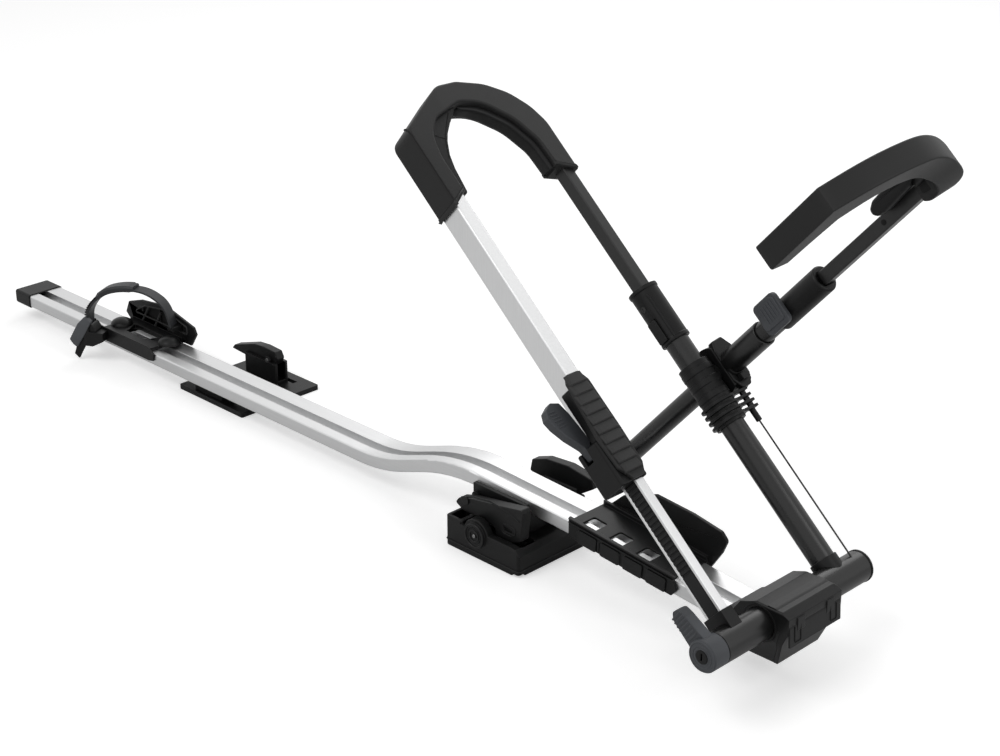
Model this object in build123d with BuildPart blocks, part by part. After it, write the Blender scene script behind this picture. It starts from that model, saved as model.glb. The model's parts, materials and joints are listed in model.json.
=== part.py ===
from build123d import *
from math import cos, radians, sin, tan
import os

os.makedirs("parts", exist_ok=True)

# Roof mounted upright bike carrier, millimetres.
# X runs to the front, Y to the far side, Z up; the origin is the middle of the front foot's underside.

# Driving sizes of the tray
tray_width = 60.0
tray_height = 19.4
tray_rear_x = -1133.0
tray_front_x = 404.0
tray_low_top = 45.8
tray_rise_x = -245.0
tray_crest_x = -107.0
tray_crest_top = 93.8
tray_bend_x = 108.5
tray_bend_top = 84.2
tray_front_top = 57.1
rise_radius = 250.0
crest_radius = 310.0
bend_radius = 1000.0

# Driving sizes of the folding hoop
axle_x = 438.0
axle_z = 88.5
axle_radius = 19.7
axle_wall = 3.0
axle_near_y = -141.0
axle_far_y = 121.0
hoop_angle = 138.3
near_leg_y = -111.3
far_leg_y = 77.3
leg_width = 28.0
leg_thickness = 12.6
outer_width = 35.0
outer_thickness = 20.4
far_tube_radius = 15.5
far_tube_bore = 13.0
hoop_travel = 135.0

# Driving sizes of the front arm
arm_reach = 283.8
arm_angle = 48.4
arm_y = 114.0
arm_bar_width = 17.0
arm_bar_thickness = 15.5

# Shared clearances
running_gap = 0.08
moving_gap = 0.3
slide_gap = 0.1
overrun = 400.0
arc_share = 0.45
square_shares = [(0, 0), (0, 1), (1, 1), (1, 0)]

across = Vector(0, 1, 0)
axle = Vector(axle_x, 0, axle_z)
hoop_up = Vector(cos(radians(hoop_angle)), 0, sin(radians(hoop_angle)))
hoop_front = Vector(sin(radians(hoop_angle)), 0, -cos(radians(hoop_angle)))
arm_pivot = axle + hoop_up * arm_reach + across * arm_y
arm_out = Vector(cos(radians(arm_angle)), 0, sin(radians(arm_angle)))
arm_up = Vector(-sin(radians(arm_angle)), 0, cos(radians(arm_angle)))


def leg_plane(u, y=0, n=0):
    """Section across a leg, u up the hoop: local x is Y and local y runs to the rear of the hoop."""
    return Plane(origin=axle + hoop_up * u + across * y + hoop_front * n, x_dir=across, z_dir=hoop_up)


def hoop_face(n):
    """Plane of the hoop seen from the front: local x is Y and local y runs up the legs."""
    return Plane(origin=axle + hoop_front * n, x_dir=across, z_dir=hoop_front)


def hoop_side(y):
    """Side of the hoop: local x runs to the hoop's front and local y up the legs, grows to -Y."""
    return Plane(origin=axle + across * y, x_dir=hoop_front, z_dir=-across)


def arm_plane(s, y=0, m=0):
    """Section across the front arm, s out from its pivot: local x is Y and local y runs to its top."""
    return Plane(origin=arm_pivot + arm_out * s + across * y + arm_up * m, x_dir=across, z_dir=arm_out)


def arm_face(m):
    """Top of the front arm: local x is Y from the carrier's middle and local y runs out the arm."""
    return Plane(origin=arm_pivot - across * arm_y + arm_up * m, x_dir=across, z_dir=-arm_up)


def arm_side(y):
    """Side of the front arm: local x runs out the arm and local y to its top, grows to -Y."""
    return Plane(origin=arm_pivot + across * y, x_dir=arm_out, z_dir=-across)


def side_plane(y):
    """Side of the carrier: local x is X and local y is Z, grows to -Y."""
    return Plane(origin=across * y, x_dir=(1, 0, 0), z_dir=-across)


def level_plane(x, y, z):
    """Level plane with its origin at a place."""
    return Plane(origin=(x, y, z), x_dir=(1, 0, 0), z_dir=(0, 0, 1))


def cross_plane(x, y, z):
    """Upright plane across the tray, growing to the front: local x is Y and local y is Z."""
    return Plane(origin=(x, y, z), x_dir=across, z_dir=(1, 0, 0))


def axle_plane(y):
    """Plane across the axle at a place along it, growing to the far side."""
    return Plane(origin=axle + across * y, x_dir=(0, 0, 1), z_dir=across)


def block(plane, width, depth, length, corner=0, mode=Mode.ADD):
    """Add a bar of rectangular section to the current part."""
    with BuildSketch(plane) as section:
        if corner:
            RectangleRounded(width, depth, corner)
        else:
            Rectangle(width, depth)
    extrude(section.sketch, amount=length, mode=mode)


def rod(plane, radius, length, mode=Mode.ADD):
    """Add a round bar to the current part."""
    with BuildSketch(plane) as section:
        Circle(radius)
    extrude(section.sketch, amount=length, mode=mode)


def ring(plane, radius, bore, length, mode=Mode.ADD):
    """Add a tube to the current part."""
    with BuildSketch(plane) as section:
        Circle(radius)
        Circle(bore, mode=Mode.SUBTRACT)
    extrude(section.sketch, amount=length, mode=mode)


def plate(plane, points, thickness, corner=0, mode=Mode.ADD):
    """Add a flat plate with an outline of points to the current part."""
    with BuildSketch(plane) as section:
        with BuildLine():
            Polyline(*points, close=True)
        make_face()
        if corner:
            fillet(section.vertices(), corner)
    extrude(section.sketch, amount=thickness, mode=mode)


def arc_radius(before, point, after):
    """Widest radius that turns a corner within its share of the two edges beside it."""
    inward = Vector(*before) - Vector(*point)
    outward = Vector(*after) - Vector(*point)
    half_turn = radians((180 - inward.get_angle(outward)) / 2)
    return arc_share * min(inward.length, outward.length) / tan(half_turn)


def soft_plate(plane, points, thickness, tight, corner, mode=Mode.ADD):
    """Add a flat plate whose outline turns in wide arcs, with small corners at the tight places."""
    radii = []
    for number, point in enumerate(points):
        if number in tight:
            radii.append(corner)
        else:
            radii.append(arc_radius(points[number - 1], point, points[(number + 1) % len(points)]))
    with BuildSketch(plane) as section:
        with BuildLine():
            FilletPolyline(*points, radius=radii, close=True)
        make_face()
    extrude(section.sketch, amount=thickness, mode=mode)


def outline(shares, start, size):
    """Outline points from shares of a box with its low corner at start."""
    return [(start[0] + share[0] * size[0], start[1] + share[1] * size[1]) for share in shares]


def cut_axle(radius):
    """Cut the axle's round space out of the current part."""
    rod(axle_plane(-overrun), radius, overrun * 2, mode=Mode.SUBTRACT)


# Tray: an aluminium profile with a channel between two hollow rims and a bolt slot below
rim_wall = 2.2
channel_near_y = -13.0
channel_far_y = 3.0
channel_depth = 11.5
slot_width = 12.0
slot_depth = 4.0
tray_corner = 2.4


def tray_line():
    """Route of the middle of the tray's top from the rear to the front."""
    with BuildLine(Plane.XZ) as route:
        FilletPolyline(
            (tray_rear_x, tray_low_top),
            (tray_rise_x, tray_low_top),
            (tray_crest_x, tray_crest_top),
            (tray_bend_x, tray_bend_top),
            (tray_front_x, tray_front_top),
            radius=(rise_radius, crest_radius, bend_radius),
        )
    return route.wires()[0]


def tray_top(x):
    """Height of the straight front stretches of the tray's top at a place."""
    if x < tray_bend_x:
        slope = (tray_bend_top - tray_crest_top) / (tray_bend_x - tray_crest_x)
    else:
        slope = (tray_front_top - tray_bend_top) / (tray_front_x - tray_bend_x)
    return tray_bend_top + slope * (x - tray_bend_x)


def tray_space(side_gap=0):
    """Solid space that the tray fills, for the pieces that sit on it."""
    route = tray_line()
    with BuildPart() as space:
        with BuildSketch(Plane(origin=route @ 0, x_dir=across, z_dir=route % 0)):
            with Locations((0, -tray_height / 2)):
                Rectangle(tray_width + side_gap * 2, tray_height + side_gap * 2)
        sweep(path=route)
    return space.part


def make_tray_rail():
    route = tray_line()
    near_cell_width = tray_width / 2 + channel_near_y - rim_wall * 2
    far_cell_width = tray_width / 2 - channel_far_y - rim_wall * 2
    cell_height = tray_height - rim_wall * 2
    with BuildPart() as tray_rail:
        with BuildSketch(Plane(origin=route @ 0, x_dir=across, z_dir=route % 0)):
            with Locations((0, -tray_height / 2)):
                RectangleRounded(tray_width, tray_height, tray_corner)
            with Locations(((channel_near_y + channel_far_y) / 2, -channel_depth / 2)):
                Rectangle(channel_far_y - channel_near_y, channel_depth, mode=Mode.SUBTRACT)
            with Locations(((channel_near_y + channel_far_y) / 2, slot_depth / 2 - tray_height)):
                Rectangle(slot_width, slot_depth, mode=Mode.SUBTRACT)
            with Locations((-tray_width / 2 + rim_wall + near_cell_width / 2, -tray_height / 2)):
                Rectangle(near_cell_width, cell_height, mode=Mode.SUBTRACT)
            with Locations((tray_width / 2 - rim_wall - far_cell_width / 2, -tray_height / 2)):
                Rectangle(far_cell_width, cell_height, mode=Mode.SUBTRACT)
        sweep(path=route)
    tray_rail.part.label = "tray_rail"
    export_step(tray_rail.part, "parts/tray_rail.step")


# Rear end cap with a skirt round the tray
cap_length = 12.0
cap_skirt = 30.0
cap_wall = 1.8
cap_corner = 4.0


def make_rear_end_cap():
    middle_z = tray_low_top - tray_height / 2
    with BuildPart() as rear_end_cap:
        block(
            cross_plane(tray_rear_x - cap_length, 0, middle_z),
            tray_width + cap_wall * 2, tray_height + cap_wall * 2, cap_length + cap_skirt, cap_corner,
        )
        chamfer(rear_end_cap.faces().sort_by(Axis.X)[0].edges(), cap_wall)
        block(cross_plane(tray_rear_x, 0, middle_z), tray_width, tray_height, overrun, mode=Mode.SUBTRACT)
    rear_end_cap.part.label = "rear_end_cap"
    export_step(rear_end_cap.part, "parts/rear_end_cap.step")


# Front foot: a base block, its rubber pad, the saddle under the tray and two clamp levers
foot_length = 132.0
foot_width = 146.0
foot_height = 39.0
foot_shares = [(0, 0), (1, 0), (1, 0.76), (0.95, 0.97), (0.9, 1), (0.03, 1), (0, 0.94)]
foot_corner = 4.0
foot_deck_z = 30.0
foot_recess_length = 66.0
foot_recess_width = 26.0
foot_recess_x = 26.0
foot_recess_y = -49.0
foot_hump_radius = 22.0
foot_hump_length = 12.0
foot_wall_height = 4.5
foot_wall_length = 30.0
foot_wall_width = 34.0
foot_pad_depth = 3.0
foot_pad_length = 116.0
foot_pad_width = 130.0
foot_hollow_length = 18.0
foot_hollow_width = 24.0
foot_hollow_depth = 17.0
foot_hollow_x = -52.0
foot_hollow_y = -56.0
foot_notch_size = 12.0
lock_x = -10.8
lock_z = 33.0
lock_boss_radius = 17.0
lock_boss_rise = 3.0
lock_radius = 11.0
lock_depth = 14.0
key_slot_length = 9.0
key_slot_width = 2.2
key_slot_depth = 2.5
saddle_rear_x = -53.0
saddle_front_x = 42.0
saddle_width = 56.0
saddle_cheek = 6.0
saddle_cheek_rise = 9.0
pin_radius = 3.5
pin_head_radius = 6.0
pin_head_depth = 1.6


def foot_block():
    """Solid of the front foot's side outline."""
    points = outline(foot_shares, (-foot_length / 2, 0), (foot_length, foot_height))
    with BuildPart() as solid:
        plate(side_plane(foot_width / 2), points, foot_width)
        fillet(solid.edges().filter_by(Axis.Z), foot_corner)
    return solid.part


def make_foot_base():
    with BuildPart() as foot_base:
        add(foot_block())
        for side in (-1, 1):
            wall_y = side * (foot_width - foot_wall_width) / 2
            wall = level_plane((foot_wall_length - foot_length) / 2, wall_y, foot_deck_z)
            wall_rise = foot_height + foot_wall_height - foot_deck_z
            block(wall, foot_wall_length, foot_wall_width, wall_rise, foot_corner)
            hollow = level_plane(foot_hollow_x, -side * foot_hollow_y, foot_height + foot_wall_height)
            block(hollow, foot_hollow_length, foot_hollow_width, -foot_hollow_depth, mode=Mode.SUBTRACT)
        hump = Plane(origin=(lock_x, -foot_width / 2, lock_z), x_dir=(1, 0, 0), z_dir=across)
        rod(hump, foot_hump_radius, foot_hump_length)
        recess = level_plane(foot_recess_x, foot_recess_y, foot_deck_z)
        block(recess, foot_recess_length, foot_recess_width, overrun, foot_corner, mode=Mode.SUBTRACT)
        block(level_plane(0, 0, 0), foot_pad_length, foot_pad_width, foot_pad_depth, mode=Mode.SUBTRACT)
        corner = level_plane(foot_length / 2, -foot_width / 2, 0)
        block(corner, foot_notch_size * 2, foot_notch_size * 2, foot_pad_depth, mode=Mode.SUBTRACT)
        boss = Plane(origin=(lock_x, -foot_width / 2, lock_z), x_dir=(1, 0, 0), z_dir=-across)
        rod(boss, lock_boss_radius, lock_boss_rise)
        rod(boss.offset(lock_boss_rise), lock_radius + moving_gap, -lock_depth, mode=Mode.SUBTRACT)
    foot_base.part.label = "foot_base"
    export_step(foot_base.part, "parts/foot_base.step")
    with BuildPart() as foot_pad:
        block(level_plane(0, 0, 0), foot_pad_length, foot_pad_width, foot_pad_depth)
    foot_pad.part.label = "foot_pad"
    export_step(foot_pad.part, "parts/foot_pad.step")
    with BuildPart() as foot_lock:
        face = boss.offset(lock_boss_rise)
        rod(face, lock_radius, moving_gap - lock_depth)
        block(face, key_slot_length, key_slot_width, -key_slot_depth, mode=Mode.SUBTRACT)
    foot_lock.part.label = "foot_lock"
    export_step(foot_lock.part, "parts/foot_lock.step")


def make_foot_saddle():
    length = saddle_front_x - saddle_rear_x
    middle_x = (saddle_front_x + saddle_rear_x) / 2
    with BuildPart() as foot_saddle:
        height = tray_top(saddle_rear_x) - tray_height + saddle_cheek_rise - foot_height
        plane = level_plane(middle_x, 0, foot_height)
        block(plane, length, tray_width + saddle_cheek * 2, height)
        sides = tray_width + saddle_cheek * 2
        undercut = foot_height / 2
        for side in (-1, 1):
            lower = level_plane(middle_x, side * sides / 2, foot_height)
            block(lower, length, sides - saddle_width, height - undercut, mode=Mode.SUBTRACT)
        add(tray_space(), mode=Mode.SUBTRACT)
    foot_saddle.part.label = "foot_saddle"
    export_step(foot_saddle.part, "parts/foot_saddle.step")


# Near foot lever: turns on a pin across the carrier
near_lever_start = (-64.0, 33.0)
near_lever_size = (122.0, 54.0)
near_lever_shares = [
    (0, 0.44), (0.05, 0.58), (0.25, 0.71), (0.62, 0.85), (0.975, 1), (1, 0.9), (0.967, 0.15), (0.8, 0),
    (0.62, 0.02), (0.59, 0.24), (0.41, 0.31), (0.12, 0.3),
]
near_lever_corner = 3.0
near_lever_y = -42.0
near_lever_thickness = 16.0
near_pin_x = -44.0
near_pin_z = 66.0
lever_slot_length = 17.0
lever_slot_height = 9.0
lever_slot_depth = 2.5
near_slot_shares = (0.78, 0.3)

# Far foot lever: flips outward on a pin along the carrier
far_lever_start = (-48.0, 62.0)
far_lever_size = (114.0, 33.0)
far_lever_shares = [
    (0, 0.1), (0.03, 0.62), (0.25, 0.9), (0.6, 1), (0.97, 0.82), (1, 0.45), (0.8, 0), (0.1, 0),
]
far_lever_corner = 2.5
far_lever_y = 78.0
far_lever_thickness = 14.0
far_pin_y = 66.0
far_pin_z = 57.0
far_pin_radius = 2.5
hinge_ear = 8.0
hinge_ear_radius = 4.7
hinge_barrel = 5.0
hinge_foot_z = 34.0


def make_near_foot_lever():
    points = outline(near_lever_shares, near_lever_start, near_lever_size)
    saddle_side = -tray_width / 2 - saddle_cheek
    pin_plane = Plane(origin=(near_pin_x, saddle_side, near_pin_z), x_dir=(1, 0, 0), z_dir=-across)
    slot_x, slot_z = outline([near_slot_shares], near_lever_start, near_lever_size)[0]
    slot_y = near_lever_y - near_lever_thickness
    with BuildPart() as near_foot_lever:
        plate(side_plane(near_lever_y), points, near_lever_thickness, near_lever_corner)
        rod(pin_plane, pin_radius + running_gap, overrun, mode=Mode.SUBTRACT)
        slot = Plane(origin=(slot_x, slot_y, slot_z), x_dir=(1, 0, 0), z_dir=across)
        block(slot, lever_slot_length, lever_slot_height, lever_slot_depth, near_lever_corner, Mode.SUBTRACT)
    near_foot_lever.part.label = "near_foot_lever"
    export_step(near_foot_lever.part, "parts/near_foot_lever.step")
    collar_length = saddle_side - near_lever_y - moving_gap
    reach = saddle_side - near_lever_y + near_lever_thickness + moving_gap
    with BuildPart() as near_lever_pin:
        rod(pin_plane, pin_radius, reach)
        rod(pin_plane.offset(reach), pin_head_radius, pin_head_depth)
        rod(pin_plane, pin_head_radius, collar_length)
    near_lever_pin.part.label = "near_lever_pin"
    export_step(near_lever_pin.part, "parts/near_lever_pin.step")


def make_far_foot_lever():
    points = outline(far_lever_shares, far_lever_start, far_lever_size)
    middle_x = far_lever_start[0] + far_lever_size[0] / 2
    barrel_length = far_lever_size[0] / 2
    barrel = cross_plane(middle_x - barrel_length / 2, far_pin_y, far_pin_z)
    neck = Plane(origin=(middle_x, far_pin_y, far_pin_z), x_dir=(1, 0, 0), z_dir=(0, 0, 1))
    with BuildPart() as far_foot_lever:
        plate(side_plane(far_lever_y), points, far_lever_thickness, far_lever_corner)
        block(neck, barrel_length, hinge_barrel * 2, far_lever_start[1] - far_pin_z + hinge_barrel)
        rod(barrel, hinge_barrel, barrel_length)
        rod(barrel.offset(-overrun), far_pin_radius + running_gap, overrun * 2, mode=Mode.SUBTRACT)
    far_foot_lever.part.label = "far_foot_lever"
    export_step(far_foot_lever.part, "parts/far_foot_lever.step")
    ear_start = middle_x - barrel_length / 2 - hinge_ear - moving_gap
    with BuildPart() as far_lever_hinge:
        for ear_x in (ear_start, middle_x + barrel_length / 2 + moving_gap):
            rod(cross_plane(ear_x, far_pin_y, far_pin_z), hinge_ear_radius, hinge_ear)
            stem = cross_plane(ear_x, far_pin_y, (far_pin_z + foot_height) / 2)
            block(stem, hinge_ear_radius * 2, far_pin_z - foot_height, hinge_ear)
        rod(cross_plane(ear_start, far_pin_y, far_pin_z), far_pin_radius, middle_x * 2 - ear_start * 2)
        foot = level_plane(middle_x, far_pin_y, hinge_foot_z)
        foot_rise = foot_height - hinge_foot_z + moving_gap
        block(foot, barrel_length + hinge_ear * 2, hinge_ear_radius * 2, foot_rise)
        add(foot_block(), mode=Mode.SUBTRACT)
    far_lever_hinge.part.label = "far_lever_hinge"
    export_step(far_lever_hinge.part, "parts/far_lever_hinge.step")


# Cradle for the front wheel: side walls on the tray, a deck with windows and a tall far wing
cradle_rear_x = 114.0
cradle_front_x = 290.0
cradle_wall = 4.0
cradle_rise = 8.0
cradle_deck = 3.0
cradle_windows = 3
cradle_window_length = 22.0
cradle_window_width = 26.0
cradle_window_y = -15.0
cradle_window_pitch = 44.0
cradle_first_window_x = 140.0
cradle_rib = 1.5
cradle_rib_share = 0.7
cradle_rib_width = 3.0
cradle_rib_pitch = 17.0
cradle_ribs = 9
wing_start = (93.0, 50.0)
wing_size = (216.5, 77.0)
wing_shares = [
    (0, 0.04), (0.15, 0.53), (0.23, 0.74), (0.476, 1), (0.75, 0.94), (0.956, 0.84), (1, 0.71), (0.965, 0.47),
    (0.896, 0.17), (0.855, 0),
]
wing_rim_shares = [
    (0.13, 0.3), (0.26, 0.64), (0.48, 0.88), (0.74, 0.82), (0.91, 0.73), (0.9, 0.45), (0.83, 0.2),
]
wing_thickness = 5.0
wing_offset = 4.0
wing_recess = 2.0
wing_corner = 6.0


def make_cradle():
    with BuildPart() as cradle_frame:
        for side_y in (-tray_width / 2, tray_width / 2 + cradle_wall):
            points = [
                (cradle_rear_x, tray_top(cradle_rear_x) - tray_height),
                (cradle_rear_x, tray_top(cradle_rear_x) + cradle_rise),
                (cradle_front_x - cradle_rise, tray_top(cradle_front_x) + cradle_rise),
                (cradle_front_x, tray_top(cradle_front_x) - tray_height / 2),
                (cradle_front_x - cradle_rise, tray_top(cradle_front_x) - tray_height),
            ]
            plate(side_plane(side_y), points, cradle_wall)
        deck = [
            (cradle_rear_x, tray_top(cradle_rear_x) - cradle_deck),
            (cradle_rear_x, tray_top(cradle_rear_x) + cradle_deck),
            (cradle_front_x - cradle_rise, tray_top(cradle_front_x) + cradle_deck),
            (cradle_front_x - cradle_rise, tray_top(cradle_front_x) - cradle_deck),
        ]
        plate(side_plane(tray_width / 2 + cradle_wall), deck, tray_width + cradle_wall * 2)
        for number in range(cradle_windows):
            window_x = cradle_first_window_x + cradle_window_pitch * number
            window = level_plane(window_x, cradle_window_y, 0)
            size = (cradle_window_length, cradle_window_width)
            block(window, *size, overrun, near_lever_corner, Mode.SUBTRACT)
        for number in range(cradle_ribs):
            rib_x = cradle_rear_x + cradle_rib_pitch * (number + 1)
            rib_z = tray_top(rib_x) - tray_height / 2
            rib = Plane(origin=(rib_x, -tray_width / 2 - cradle_wall, rib_z), x_dir=(1, 0, 0), z_dir=-across)
            block(rib, cradle_rib_width, tray_height * cradle_rib_share, cradle_rib)
        wing = side_plane(tray_width / 2 + wing_offset + wing_thickness)
        plate(wing, outline(wing_shares, wing_start, wing_size), wing_thickness, wing_corner)
        plate(wing, outline(wing_rim_shares, wing_start, wing_size), wing_recess, mode=Mode.SUBTRACT)
        add(tray_space(), mode=Mode.SUBTRACT)
    cradle_frame.part.label = "cradle_frame"
    export_step(cradle_frame.part, "parts/cradle_frame.step")


# Head: a base that holds the tray and the axle bushes, with a domed cover
head_far_y = 33.0
head_near_y = -65.0
head_start = (366.0, 34.0)
head_size = (112.0, 80.0)
head_shares = [
    (0, 0), (0.786, 0.012), (1, 0.71), (1, 0.93), (0.9, 0.995), (0.57, 1), (0.38, 0.9), (0.23, 0.58),
    (0, 0.42),
]
head_core_shares = [
    (0, 0), (0.73, 0.011), (0.84, 0.35), (0.9, 0.681), (0.28, 0.681), (0.23, 0.58), (0, 0.42),
]
head_taper_shares = [(0, 1), (1, 1), (1, 0.5), (0.94, 0), (0.17, 0), (0, 0.5)]
bush_wall = 3.0
bush_length = 20.0
head_corner = 3.0
tab_width = 14.0
tab_height = 16.0
tab_rise = 1.4
tab_spread = 27.0
tab_share = 0.8
bolt_y = -5.0
bolt_radius = 3.0
bolt_head_radius = 5.5
bolt_head_depth = 3.5
bolt_rear = 14.0
bolt_spacing = 14.0


def head_solid(shares, corner=0):
    """Solid of the head's side outline, drawn in at its lower sides."""
    length = head_far_y - head_near_y
    with BuildPart() as solid:
        plate(side_plane(head_far_y), outline(shares, head_start, head_size), length, corner)
        taper = outline(head_taper_shares, (head_near_y, head_start[1]), (length, head_size[1]))
        plate(cross_plane(0, 0, 0), taper, overrun * 2, mode=Mode.INTERSECT)
    return solid.part


def make_head():
    bush_radius = axle_radius + slide_gap + bush_wall
    bolt_x = head_start[0] + bolt_rear
    with BuildPart() as head_base:
        add(head_solid(head_core_shares))
        cut_axle(bush_radius)
        add(tray_space(), mode=Mode.SUBTRACT)
        for number in range(2):
            place = level_plane(bolt_x + bolt_spacing * number, bolt_y, head_start[1])
            rod(place, bolt_head_radius, bolt_head_depth, mode=Mode.SUBTRACT)
            rod(place, bolt_radius, overrun, mode=Mode.SUBTRACT)
    head_base.part.label = "head_base"
    export_step(head_base.part, "parts/head_base.step")
    with BuildPart() as head_cover:
        add(head_solid(head_shares))
        fillet(head_cover.faces().sort_by(Axis.Z)[-1].edges(), head_corner)
        add(head_solid(head_core_shares), mode=Mode.SUBTRACT)
        cut_axle(bush_radius)
        for side in (-1, 1):
            tab_y = (head_far_y + head_near_y) / 2 + side * tab_spread
            tab_x = head_start[0] + head_size[0]
            tab = cross_plane(tab_x - tab_rise, tab_y, head_start[1] + head_size[1] * tab_share)
            block(tab, tab_width, tab_height, tab_rise * 2)
    head_cover.part.label = "head_cover"
    export_step(head_cover.part, "parts/head_cover.step")
    with BuildPart() as axle_bushes:
        for bush_y in (head_near_y, head_far_y - bush_length):
            ring(axle_plane(bush_y), bush_radius, axle_radius + slide_gap, bush_length)
    axle_bushes.part.label = "axle_bushes"
    export_step(axle_bushes.part, "parts/axle_bushes.step")
    with BuildPart() as head_bolts:
        for number in range(2):
            place = level_plane(bolt_x + bolt_spacing * number, bolt_y, head_start[1])
            rod(place, bolt_head_radius, bolt_head_depth)
            reach = tray_top(bolt_x + bolt_spacing * number) - tray_height - head_start[1]
            rod(place, bolt_radius, reach + slot_depth / 2)
    head_bolts.part.label = "head_bolts"
    export_step(head_bolts.part, "parts/head_bolts.step")


# Axle, its far cap, the release knob and the key lock
cap_rim = 0.8
cap_disc = 3.5
cap_plug = 8.0
knob_length = 24.7
knob_stub = 15.0
knob_tab_start = 12.0
knob_tab_reach = 58.0
knob_tab_root = 28.0
knob_tab_tip = 18.0
knob_tab_width = 13.0
knob_tab_y = -146.0
knob_tab_turn = 5.4
knob_groove = 1.6
knob_groove_length = 4.8
knob_groove_pitch = 5.0
knob_grooves = 5
barrel_radius = 8.0
barrel_depth = 15.0
barrel_rise = 1.0


def knob_plane(y):
    """Side of the knob's tab: local x runs across the tab and local y out to its tip, grows to -Y."""
    turn = radians(hoop_angle + knob_tab_turn)
    return Plane(origin=axle + across * y, x_dir=Vector(sin(turn), 0, -cos(turn)), z_dir=-across)


def make_axle():
    with BuildPart() as cross_tube:
        ring(axle_plane(axle_near_y), axle_radius, axle_radius - axle_wall, axle_far_y - axle_near_y)
    cross_tube.part.label = "cross_tube"
    export_step(cross_tube.part, "parts/cross_tube.step")
    with BuildPart() as far_end_cap:
        rod(axle_plane(axle_far_y), axle_radius + cap_rim, cap_disc)
        chamfer(far_end_cap.edges().sort_by(Axis.Y)[-1], cap_rim)
        rod(axle_plane(axle_far_y), axle_radius - axle_wall, -cap_plug)
    far_end_cap.part.label = "far_end_cap"
    export_step(far_end_cap.part, "parts/far_end_cap.step")


def make_knob():
    start_y = axle_near_y - moving_gap
    face_y = start_y - knob_length
    with BuildPart() as release_knob:
        rod(axle_plane(start_y), axle_radius, -knob_length)
        chamfer(release_knob.faces().sort_by(Axis.Y)[0].edges(), cap_rim)
        rod(axle_plane(start_y), axle_radius - axle_wall - slide_gap, knob_stub)
        tab = [
            (-knob_tab_root / 2, knob_tab_start),
            (knob_tab_root / 2, knob_tab_start),
            (knob_tab_tip / 2, knob_tab_reach),
            (-knob_tab_tip / 2, knob_tab_reach),
        ]
        plate(knob_plane(knob_tab_y), tab, knob_tab_width)
        for number in range(knob_grooves):
            groove = knob_plane(knob_tab_y)
            height = knob_tab_reach - knob_groove_pitch * (number + 1)
            with BuildSketch(groove) as section:
                with Locations((knob_tab_root / 2 - knob_groove * (number + 1) / knob_grooves, height)):
                    Rectangle(knob_groove_length, knob_groove)
            extrude(section.sketch, amount=knob_tab_width, mode=Mode.SUBTRACT)
        rod(axle_plane(face_y), barrel_radius + running_gap, barrel_depth, mode=Mode.SUBTRACT)
    release_knob.part.label = "release_knob"
    export_step(release_knob.part, "parts/release_knob.step")
    with BuildPart() as lock_barrel:
        rod(axle_plane(face_y - barrel_rise), barrel_radius, barrel_depth + barrel_rise - moving_gap)
        face = axle_plane(face_y - barrel_rise)
        block(face, key_slot_length, key_slot_width, key_slot_depth, mode=Mode.SUBTRACT)
    lock_barrel.part.label = "lock_barrel"
    export_step(lock_barrel.part, "parts/lock_barrel.step")


# Fixed near leg: an aluminium profile with a toothed strip, in a collar on the axle
near_collar_top = 33.0
near_collar_thickness = 18.6
near_collar_width = 34.0
leg_start = 8.0
profile_end_gap = 8.0
strip_depth = 3.0
strip_width = 20.0
strip_top = 340.0
tooth_start = 86.0
tooth_pitch = 6.6
tooth_depth = 1.6
tooth_gap = 3.0
teeth = 36
profile_cell_wall = 2.2

# Fixed far leg: a round tube in a collar, with the joint sleeve and the slide sleeve
far_collar_radius = 17.8
far_collar_top = 27.0
far_tube_rise = 61.2
joint_sleeve_drop = 64.8
joint_sleeve_rise = 21.2
joint_sleeve_radius = 20.0
joint_ring_radius = 24.0
joint_ring = 3.5
joint_ring_pitch = 8.0
joint_rings = 4
sleeve_bands = 3
band_drop = 27.8
band_pitch = 17.0
band_length = 8.0
band_rise = 0.6
comb_near_offset = 12.0
comb_far_offset = 22.0
comb_reach = 112.0
comb_web = 4.0
pivot_boss_radius = 14.0
pivot_boss_y = 98.2
pivot_pin_radius = 8.0
pivot_head_radius = 12.0
pivot_head = 5.6
wire_y = 104.7
wire_offset = 15.0
wire_radius = 1.1
stub_radius = 3.8
stub_drop = 13.0
slide_sleeve_length = 77.0
slide_sleeve_overlap = 5.0
slide_sleeve_radius = 18.4
slide_rim = 5.0
slide_rim_rise = 1.2

far_tube_top = arm_reach + far_tube_rise
joint_sleeve_start = arm_reach - joint_sleeve_drop
joint_sleeve_top = arm_reach + joint_sleeve_rise
band_start = arm_reach - band_drop
stub_start = joint_sleeve_start - stub_drop
slide_sleeve_start = far_tube_top - slide_sleeve_overlap
slide_sleeve_top = slide_sleeve_start + slide_sleeve_length


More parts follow.
